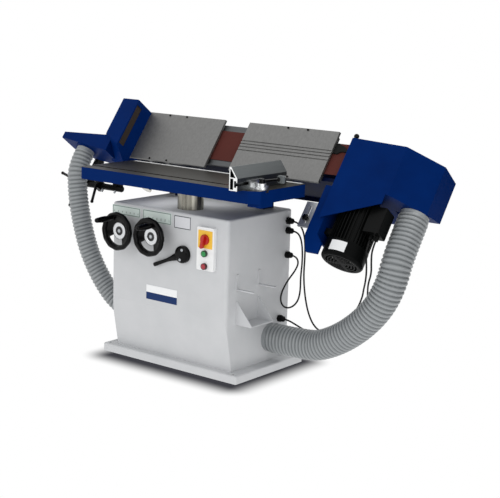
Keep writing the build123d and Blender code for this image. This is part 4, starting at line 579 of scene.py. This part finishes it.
# Oiled ground iron is an olive grey with streaks along the planing; the enamel is deep blue.
top_z, slot_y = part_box("table_top")[1].z, pivots["mitre_angle"][1]
ground_depth, slot_half, slot_depth = 0.0008, 0.0105, 0.0105
table_iron = ground_top(
    "ground_iron_and_blue_enamel", top_z - ground_depth, slot_y, slot_half, top_z - slot_depth,
    "42403a", "302e2a", "012663", "011f57")
dress(table_iron, "table_top")
# The bright aluminium strip is drawn as nearly white plastic with a soft gloss: a painted
# highlight, standing in for the metal's bright reflection.
strip_painted_highlight = moulded("bright_strip_painted_highlight", "f4f5f5", 0.3)
dress(strip_painted_highlight, "table_edge_strip")


# Mitre gauge: an aluminium fence on a cast head that slides in the table's slot on a steel bar.
# A black clamp lever with a grey grip pad sits on the head's boss. The fence is extruded and
# anodised: grey satin, with fine lines along its length and bright sawn ends.
anodised = metal("anodised_aluminium", "626566", "4f5354", 0.38, 2.5, 1, cut_along=1)
dress(anodised, "mitre_fence")
# Die-cast aluminium: silver white, with a soft sheen.
dress(metal("cast_aluminium_head", "f0f1f1", "dcdedf", 0.34, 2.5, 0), "mitre_head")
dress(polished, "mitre_bar")
# Phenolic resin: deep black with a hard gloss.
black_phenolic = moulded("black_phenolic", "060607", 0.2, specular=0.14)
dress(black_phenolic, "mitre_clamp_lever")
# Grip plastic: a dull mid grey.
grey_pad = moulded("grey_grip_plastic", "656a6b", 0.4)
pad_at, pad_depth, pad_edge = (0.556, -0.156, 0.937), 0.016, 0.002
slab("mitre_lever_pad", rounded(0.032, 0.034, 0.005), pad_at, wide, tall, pad_depth, pad_edge,
     grey_pad, "mitre_lever")


# Handwheels: black phenolic mouldings with a lobed rim and a dished web that has one finger window.
# A dial with a bright ring is set in the dish, and a crank grip turns on a stud near the rim.


def arc(centre, radius, start, end, count):
    """Points of a circle's arc in a profile, from one angle to another."""
    t = np.radians(np.linspace(start, end, count))
    return np.c_[centre[0] + radius * np.cos(t), centre[1] + radius * np.sin(t)]


def dished(inner, outer):
    """The web's closed profile between two radii: its face rises 21 mm over 55 mm, and it is 8 mm
    thick."""
    low, high = np.interp((inner, outer), (0.024, 0.079), (-0.017, 0.004))
    thick = 0.008
    return (inner, low), (outer, high), (outer, high - thick), (inner, low - thick), (inner, low)


# Turned aluminium with a fine satin face, round a black dial under clear plastic.
dial_ring = metal("satin_dial_ring", "dfe0e2", "cfd1d3", 0.25, 2.0, 1, bump=0.02)
dial_face = moulded("dial_face", "17181a", 0.2)
outward = np.array((0, -1.0, 0))
window_span = (116, 391)
grip_out = 0.0113
rim = arc((0, 0), 1.0, 0, 360, 25) * (0.0115, 0.0140) + (0.079, 0.003)
hub_profile = ((0, -0.0171), (0.036, -0.0171), (0.037, -0.018), (0.037, -0.025), (0.024, -0.026),
               (0.024, -0.0607), (0.0125, -0.0607))
ring_profile = ((0.0210, -0.0132), (0.0215, -0.0112), (0.0240, -0.0102), (0.0364, -0.0096),
                (0.0390, -0.0104), (0.0400, -0.0122), (0.0400, -0.0172), (0.0210, -0.0172),
                (0.0210, -0.0132))
face_profile = ((0, -0.0123), (0.0212, -0.0123), (0.0212, -0.0172), (0, -0.0172))
cap_profile = ((0, -0.0078), (0.0056, -0.0081), (0.0081, -0.0093), (0.0088, -0.0110),
               (0.0088, -0.0128), (0, -0.0128))
boss_profile = ((0, 0.011), (0.0108, 0.011), (0.012, 0.0098), (0.012, -0.0085), (0, -0.0085))
t = np.linspace(0, 1, 24)
swell = 0.0112 + 0.0033 * np.sin(math.pi * t) ** 1.4
handle = np.r_[((0.0052, 0.0005), (0.0098, 0.0005)), np.c_[swell, 0.001 + t * 0.0965],
               ((0.0098, 0.1010), (0.0074, 0.1040), (0.0040, 0.1056), (0, 0.1060))]
for side in ("lift", "tilt"):
    wheel = side + "_wheel"
    hub = pivots[wheel + "_turn"]
    for part, profile, finish, sides, shape in (
        ("_rim", rim, black_phenolic, 96, dict(lobes=12, wave=0.0009)),
        ("_web_inner", dished(0.034, 0.040), black_phenolic, 96, {}),
        ("_web", dished(0.0398, 0.0662), black_phenolic, 72, dict(span=window_span)),
        ("_web_outer", dished(0.066, 0.0725), black_phenolic, 96, {}),
        ("_hub", hub_profile, black_phenolic, 64, {}),
        ("_ring", ring_profile, dial_ring, 64, {}),
        ("_dial", face_profile, dial_face, 48, {}),
        ("_cap", cap_profile, zinc, 32, {}),
    ):
        piece = turned(wheel + part, profile, hub, outward, finish, wheel, sides=sides, **shape)
        if part == "_rim":
            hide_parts(side + "_handwheel")
    grip_x, _, grip_z = pivots[side + "_grip_spin"]
    boss_at = np.array((grip_x, hub[1], grip_z))
    turned(wheel + "_boss", boss_profile, boss_at, outward, black_phenolic, wheel, sides=32)
    grip = turned(wheel + "_grip", handle, boss_at + grip_out * outward, outward, black_phenolic,
                  side + "_grip", sides=40)
    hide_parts(side + "_crank")


# Lock lever: a hub with two bright screws and a tapered arm that ends in a plain rounded grip.
# It is moulded in black phenolic resin and sits on the spindle that clamps the column.


def lofted(name, start, end, radii, finish, body, flatten=1.0, flat_way=(0, 1, 0), sides=24):
    """A tapered bar between two points: rings of the given radii at even steps, flattened along one
    direction, and closed by a dome at each end."""
    start, end = np.array(start, float), np.array(end, float)
    length = np.linalg.norm(end - start)
    axis = (end - start) / length
    flat_way = np.array(flat_way, float) - axis * np.dot(axis, flat_way)
    flat_way /= np.linalg.norm(flat_way)
    wide_way = np.cross(axis, flat_way)
    radii = np.array(radii, float)
    dome_way, dome_size = np.array((0.3, 0.52, 0.6)), np.array((0.86, 0.5, 0.0))
    steps = np.linspace(0, length, len(radii))
    way = np.r_[-radii[0] * dome_way[::-1], steps, length + radii[-1] * dome_way]
    size = np.r_[radii[0] * dome_size[::-1], radii, radii[-1] * dome_size]
    t = np.linspace(0, 2 * math.pi, sides, endpoint=False)
    ring = np.outer(np.cos(t), wide_way) + flatten * np.outer(np.sin(t), flat_way)
    points = start + way[:, None, None] * axis + size[:, None, None] * ring[None]
    return fixed(name, grid_mesh(name, points), finish, body)


run_gap, hub_height, screw_circle = 0.0003, 0.022, 0.024
arm_angle, arm_start, arm_end, arm_flatten = 203.2, 0.030, 0.182, 0.6
lock_at = np.array((pivots["lock_turn"][0], wall_y - run_gap, pivots["lock_turn"][2]))
disc = ((0, hub_height), (0.030, hub_height), (0.036, 0.0205), (0.0395, 0.017), (0.040, 0.013),
        (0.040, 0), (0, 0))
lock_hub = turned("lock_hub", disc, lock_at, outward, black_phenolic, "lock", sides=64)
arm_middle = lock_at + hub_height / 2 * outward
arm_radii = (0.019, 0.0165, 0.0125, 0.0095, 0.0085, 0.0083, 0.0088, 0.0095, 0.0095)
arm = lofted("lock_arm", arm_middle + arm_start * spoke(arm_angle),
             arm_middle + arm_end * spoke(arm_angle), arm_radii, black_phenolic, "lock",
             flatten=arm_flatten)
head = ((0, 0.001), (0.003, 0.001), (0.0033, 0.0035), (0.0058, 0.0035), (0.0064, 0.0028),
        (0.0064, -0.001), (0, -0.001))
for number, angle in enumerate((72, 262), 1):
    screw_at = lock_at + screw_circle * spoke(angle) + hub_height * outward
    turned("lock_screw_%d" % number, head, screw_at, outward, zinc, "lock", sides=24)
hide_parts("lock_lever")


# Tilt unit: a welded frame on two iron quadrants that turn in shoes on the cabinet's top.
# Frame, shoes and rear guard are dark enamel, nearly black in the shade; the quadrants are bare
# oiled iron, grey and dull.
dark_enamel = coated("dark_blue_enamel", "0a1538", "080f28", 4.0, 0.5, 0.06)
dress(dark_enamel, "tilt_frame", "trunnion_shoes", "rear_guard")
dress(metal("oiled_iron", "5e5c58", "474541", 0.42, 3.0, 0), "tilt_quadrants")

# The unit rests leaned back by all of its way to upright.
lean = math.radians(next(j["range_deg"][1] for j in frame["joints"] if j["name"] == "tilt"))
_, axis_y, axis_z = pivots["tilt"]


def leaned(points):
    """Points of the tilt unit, given upright as x, way back and way up from the tilt axis, turned
    back about that axis by the lean, as the unit rests."""
    x, back, high = np.moveaxis(np.array(points, float), -1, 0)
    y = axis_y + high * math.sin(lean) + back * math.cos(lean)
    z = axis_z + high * math.cos(lean) - back * math.sin(lean)
    return np.stack((x, y, z), -1)


lean_up = leaned((0, 0, 1)) - leaned((0, 0, 0))
lean_back = leaned((0, 1, 0)) - leaned((0, 0, 0))


# Belt, platen and drums: an endless aluminium-oxide belt runs over a graphite-faced steel platen.
# The belt is cloth coated with red-brown grit, which looks matt and grainy. The grains are drawn at
# 1.2 mm, coarser than real ones, so that they show.
grit, tree = blank("red_brown_grit")
spot = add(tree, "TexCoord", out="Object")
grains = add(tree, "TexVoronoi", {"Vector": spot, "Scale": 1000 / 1.2}, "Distance")
worn = add(tree, "TexNoise", {"Vector": spot, "Scale": 1000 / 90, "Detail": 4.0})
speck = add(tree, "Mix", {0: grains, 6: linear("6b3029"), 7: linear("45201b")}, 2, data_type="RGBA")
tone = add(tree, "Mix", {0: worn, 6: linear("522620"), 7: speck}, 2, data_type="RGBA")
rub = add(tree, "Bump", {"Height": grains, "Strength": 0.5, "Distance": 0.0006})
shader = add(tree, "BsdfPrincipled", {
    "Base Color": tone, "Roughness": 0.85, "Normal": rub, "IOR": 1.6, "Specular IOR Level": 0.2})
add(tree, "OutputMaterial", {"Surface": shader})

# The loop: half a turn round each drum and straight runs between, at each corner of the section.
idler_x, drive_x = pivots["idler_spin"][0], pivots["drive_spin"][0]
drum_back, belt_low, belt_high, belt_outer, belt_inner = 0.120, 0.071, 0.231, 0.1000, 0.0980
bend_points, run_points = 41, 38
t = np.linspace(-math.pi / 2, math.pi / 2, bend_points)
bend = np.c_[np.cos(t), np.sin(t)]
run = np.linspace(idler_x, drive_x, run_points + 2)[1:-1]
run_way = np.tile((0, 1.0), (run_points, 1))
loop_way = np.r_[bend, run_way, -bend, -run_way]
loop_x = np.r_[np.full(bend_points, drive_x), run[::-1], np.full(bend_points, idler_x), run]
section = ((belt_outer, belt_low), (belt_outer, belt_high), (belt_inner, belt_high),
           (belt_inner, belt_low), (belt_outer, belt_low))
loop = np.stack([
    leaned(np.c_[loop_x + reach * loop_way[:, 0], drum_back + reach * loop_way[:, 1],
                 np.full(len(loop_x), height)])
    for reach, height in section])
belt = fixed("belt", grid_mesh("belt", loop), grit, "tilt_unit")
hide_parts("sanding_belt")
# Graphite cloth on steel: dull grey with a faint rubbed sheen.
platen_steel = metal("graphite_platen", "6d6f70", "56585a", 0.5, 2.0, 0)
dress(platen_steel, "platen")
dress(anodised, "drive_drum", "idler_drum")


# Cover plates: ground steel in front of the belt, the right one grooved, held by black screws.
# A black rubber wiper behind the right plate's end lies against the belt's upper margin.
# Ground steel is mid grey with broad soft bands; the screws' enamel is black with a soft sheen.
cover_steel = metal("ground_cover_steel", "8d8d8c", "737372", 0.5, 9.0, 2, bump=0.03)
dress(cover_steel, "left_cover_plate", "right_cover_plate")
black_paint = coated("black_enamel", "0a0b0b", "070808", 4.0, 0.38, 0.1)
dress(black_paint, "cover_screws")
# Rubber: matt black.
rubber = moulded("black_rubber", "0e0f0f", 0.6, specular=0.15)
wiper_back, wiper_depth, wiper_edge = 0.0185, 0.0065, 0.0015
wiper = np.array((
    (0.598, 0.176), (0.632, 0.174), (0.650, 0.187), (0.684, 0.188), (0.684, 0.198), (0.668, 0.206),
    (0.655, 0.217), (0.640, 0.220), (0.626, 0.229), (0.606, 0.226), (0.598, 0.224)))
slab("belt_wiper", wiper, leaned((0, wiper_back, 0)), wide, lean_up, wiper_depth, wiper_edge,
     rubber, "tilt_unit")


# Hoods: folded and welded sheet over the drive drum and beside the idler, enamelled deep blue.
# A ball knob stands on the right hood's corner and a smaller one on the chute. A matt dark brown
# sheet in the left hood's slot is painted shade, standing in for the shaded belt seen through it.
blue_enamel = coated("blue_enamel", "012563", "011f57", 4.0, 0.45, 0.025)
dress(blue_enamel, "right_hood", "left_hood", "motor_plate")
# Painted shade: a dark brown sheet in the slot.
slot_shade_sheet = moulded("brown_slot_shade", "3a322d", 0.9, 2.0, specular=0.1)
lining_x, lining_middle, lining_depth, lining_edge = -0.5335, (-0.0895, 0.140), 0.0025, 0.0004
slab("slot_shade_lining", rounded(0.049, 0.230, 0.004) + lining_middle, leaned((lining_x, 0, 0)),
     lean_back, lean_up, lining_depth, lining_edge, slot_shade_sheet, "tilt_unit")
ball = np.r_[((0, -0.002), (0.005, -0.002), (0.005, 0.005)), arc((0, 0.0145), 0.0122, -55, 90, 14)]
ball[-1, 0] = 0
for name, profile, at, sides in (
    ("right_hood_knob", ball, (0.6965, 0.012, 0.258), 32),
    ("left_hood_knob", ball * 0.6, (-0.648, -0.092, 0.068), 28),
):
    turned(name, profile, leaned(at), lean_up, black_phenolic, "tilt_unit", sides=sides)


# Motor: a black enamelled finned casting with a terminal box, hung from the motor plate.
# Its fan cover is a pressing painted blacker than the body, as painted shade for its underside,
# with a bare white rating plate riveted round it.
dress(black_paint, "motor_body", "terminal_box")
# Painted shade: the fan cover gets a blacker copy of the motor's black enamel.
dress(coated("fan_cover_painted_shade", "050606", "030404", 4.0, 0.42, 0.06), "motor_fan_cover")
plate_print = printed("bare_rating_plate", (0, 0), (0, 0), "e9eaeb", 0, 0, "e9eaeb")
plate_span = (-105.5, -60.5)
plate_inner, plate_outer, plate_low, plate_high = 0.0969, 0.0978, -0.2815, -0.2345
plate_section = ((plate_inner, plate_low), (plate_outer, plate_low), (plate_outer, plate_high),
                 (plate_inner, plate_high), (plate_inner, plate_low))
turned("motor_rating_plate", plate_section, leaned((drive_x, drum_back, 0)), lean_up, plate_print,
       "tilt_unit", sides=24, span=plate_span)


# Hardware of the tilt unit: a slotted bracket with a star knob on the motor plate, and at the left
# end a black enamelled tube rail with clamps, hand levers and plated bolts. The bracket is cast
# aluminium, bright with a soft satin face.
bright_cast = metal("cast_bracket_aluminium", "c6c8ca", "b4b7b9", 0.4, 2.5, 2)
dress(bright_cast, "slide_bracket")
star = ((0, 0), (0.010, 0), (0.0128, 0.002), (0.0142, 0.005), (0.0145, 0.012), (0.0130, 0.016),
        (0.008, 0.0178), (0, 0.018))
star_back = 0.0277
star_at = pivots["bracket_knob_turn"] + star_back * lean_back
star_knob = turned("bracket_star_knob", star, star_at, -lean_back, black_phenolic, "bracket_clamp",
                   sides=72, lobes=6, wave=0.0014)
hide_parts("bracket_knob")
dress(black_paint, "end_rail", "rail_clamps")
dress(black_phenolic, "front_clamp_lever", "end_clamp_lever")
bolt = ((0, -0.0005), (0.0045, -0.0005), (0.0053, 0.0005), (0.0053, 0.020), (0, 0.020))
bolt_back, bolt_up = 0.115, -0.143
for number, bolt_x in enumerate((-0.723, -0.632), 1):
    turned("rail_bolt_%d" % number, bolt, leaned((bolt_x, bolt_back, bolt_up)), lean_up, zinc,
           "tilt_unit", sides=24)


# Hoses: grey PVC tubes with a moulded-in spiral rib, pushed over the spigots at both ends.
# Soft PVC has a satin sheen; the narrow grooves between its broad ribs are painted darker, as
# painted shade.
# Painted shade: the groove colour darkens the hose between its ribs.
hose_pvc = moulded("grey_hose_pvc", "989c9e", 0.38, 3.0, specular=0.5, groove_shade="6c7072")


def laid(points, fineness):
    """The line of a hose or cable: a NURBS curve of order three with the route's points as its
    control points, read back as the points of a curve with no thickness."""
    route = bpy.data.curves.new("route", "CURVE")
    route.dimensions = "3D"
    route.resolution_u = fineness
    spline = route.splines.new("NURBS")
    spline.points.add(len(points) - 1)
    spline.points.foreach_set("co", np.c_[points, np.ones(len(points))].ravel())
    spline.order_u = 3
    spline.use_endpoint_u = True
    holder = place("route", route)
    mesh = bpy.data.meshes.new_from_object(holder)
    line = np.empty(len(mesh.vertices) * 3)
    mesh.vertices.foreach_get("co", line)
    bpy.data.objects.remove(holder)
    bpy.data.meshes.remove(mesh)
    return line.reshape(-1, 3)


def tube(name, line, count, shape, sides, finish):
    """A tube round a line: rings at even steps along it, each square to the line's direction, whose
    radius and groove mark are functions of the way along and of the angle round."""
    step = np.r_[0, np.cumsum(np.linalg.norm(np.diff(line, axis=0), axis=1))]
    way = np.linspace(0, step[-1], count)
    centre = np.stack([np.interp(way, step, line[:, i]) for i in range(3)], -1)
    ahead = np.gradient(centre, axis=0)
    ahead /= np.linalg.norm(ahead, axis=1)[:, None]
    first = np.array((0, 1.0, 0)) - ahead * ahead[:, 1:2]
    first /= np.linalg.norm(first, axis=1)[:, None]
    second = np.cross(ahead, first)
    t = np.linspace(0, 2 * math.pi, sides, endpoint=False)
    ring = np.cos(t)[None, :, None] * first[:, None] + np.sin(t)[None, :, None] * second[:, None]
    radius, marks = shape(way, t, step[-1])
    points = centre[:, None] + radius[..., None] * ring
    made = place(name, grid_mesh(name, points, crease=80, marks=marks))
    made.data.materials.append(finish)
    return made, centre, step[-1]


def ribbed(crest, valley, pitch, cuff):
    """The form of a spiral-ribbed hose: a broad round hump once each pitch, wound round, with plain
    cuffs. The mark, for painted shade, is high in the narrow groove between two humps."""
    def shape(way, t, length):
        phase = (way[:, None] / pitch - t[None] / (2 * math.pi)) % 1
        off = np.abs(2 * phase - 1)
        ease = np.clip(np.minimum(way, length - way) / cuff - 0.7, 0, 1)[:, None]
        hump = (1 - off ** 2) * ease + 0.35 * (1 - ease)
        return valley + (crest - valley) * hump, np.clip((off - 0.25) / 0.75, 0, 1) * ease
    return shape


# Each route starts inside its hood and ends at its inlet. The right hose is 140 mm over its ribs,
# but a cord is declared with at most 120 mm, so its bore stands for it. A mouth is an exit listed
# with each hose, set between the hose's middle and the spigot's wall.
rib_pitch, cuff_length, rings_per_rib, hose_fineness = 0.0193, 0.014, 16, 40
right_route = np.r_[leaned(((1.020, 0.195, 0.015), (1.020, 0.195, -0.185))), np.array((
    (1008, 50, 518), (962, 42, 410), (880, 44, 314), (780, 50, 234), (678, 58, 178), (582, 66, 149),
    (352, 66, 149))) / 1000]
left_route = np.r_[leaned(((-0.788, -0.045, -0.00388), (-0.788, -0.045, -0.10388))), np.array((
    (-776, -80, 740), (-760, -80, 637), (-737, -75, 535), (-705, -68, 430), (-661, -55, 335),
    (-609, -40, 252), (-554, -24, 187), (-482, -10, 149), (-352, -10, 149))) / 1000]
for side, route, ribs, crest, valley, sides, declared, mouth in (
    ("right", right_route, 59, 0.0698, 0.0630, 80, 0.12, (1.049, 0.195, 0.015)),
    ("left", left_route, 53, 0.0498, 0.0445, 72, 0.10, (-0.768, -0.045, -0.00388)),
):
    form = ribbed(crest, valley, rib_pitch, cuff_length)
    hose, path, length = tube(side + "_hose", laid(route, hose_fineness), ribs * rings_per_rib,
                              form, sides, hose_pvc)
    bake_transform(hose)
    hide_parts("hose_" + side)


# Cables: black PVC-sheathed cables of 8 mm, two from the cabinet's glands to the motor's terminal
# box and one from gland to gland. They hang in slack bends, so that the motor can swing with the
# tilt unit.


def plain(radius):
    """The form of a smooth cable: one radius everywhere, with no groove shade."""
    def shape(way, t, length):
        none = np.zeros((len(way), len(t)))
        return none + radius, none
    return shape


# Cable PVC: black, with a dull sheen.
cable_pvc = moulded("black_cable_pvc", "0f0f10", 0.5, 2.0, specular=0.2)
cable_diameter, cable_fineness, cable_rings, cable_sides = 0.008, 24, 260, 14
motor_end = leaned(((0.918, 0.094, -0.225), (0.918, 0.094, -0.180)))
second_end = leaned(((0.948, 0.094, -0.225), (0.948, 0.094, -0.180)))
cable_routes = {
    "cable_1": np.r_[np.array((
        (378, 178, 689), (408, 178, 689), (438, 180, 662), (453, 182, 610), (455, 184, 530),
        (450, 186, 440), (460, 187, 350), (483, 187, 265), (520, 188, 205), (575, 190, 183),
        (645, 192, 207), (712, 186, 268), (770, 165, 345), (808, 138, 405), (840, 95, 455),
        (876, 48, 500), (908, 2, 556), (922, -26, 613))) / 1000, motor_end],
    "cable_2": np.array((
        (378, 178, 643), (408, 178, 643), (430, 180, 618), (440, 182, 570), (441, 184, 500),
        (434, 185, 430), (438, 182, 360), (432, 170, 310), (408, 148, 282), (382, 128, 286),
        (368, 120, 318), (370, 128, 360), (386, 148, 410), (414, 170, 462), (426, 177, 500),
        (407, 178, 527), (378, 178, 527))) / 1000,
    "cable_3": np.r_[np.array((
        (378, 135, 227), (406, 135, 227), (442, 146, 210), (484, 168, 184), (537, 192, 166),
        (602, 206, 168), (672, 204, 202), (735, 196, 264), (790, 180, 337), (828, 150, 394),
        (859, 98, 444), (893, 44, 496), (933, 2, 555), (947, -27, 613))) / 1000, second_end],
}
for name, route in cable_routes.items():
    lead, path, length = tube(name + "_sheath", laid(route, cable_fineness), cable_rings,
                              plain(cable_diameter / 2), cable_sides, cable_pvc)
    if name == "cable_2":
        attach(lead, "stand")
    else:
        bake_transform(lead)
    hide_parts(name)
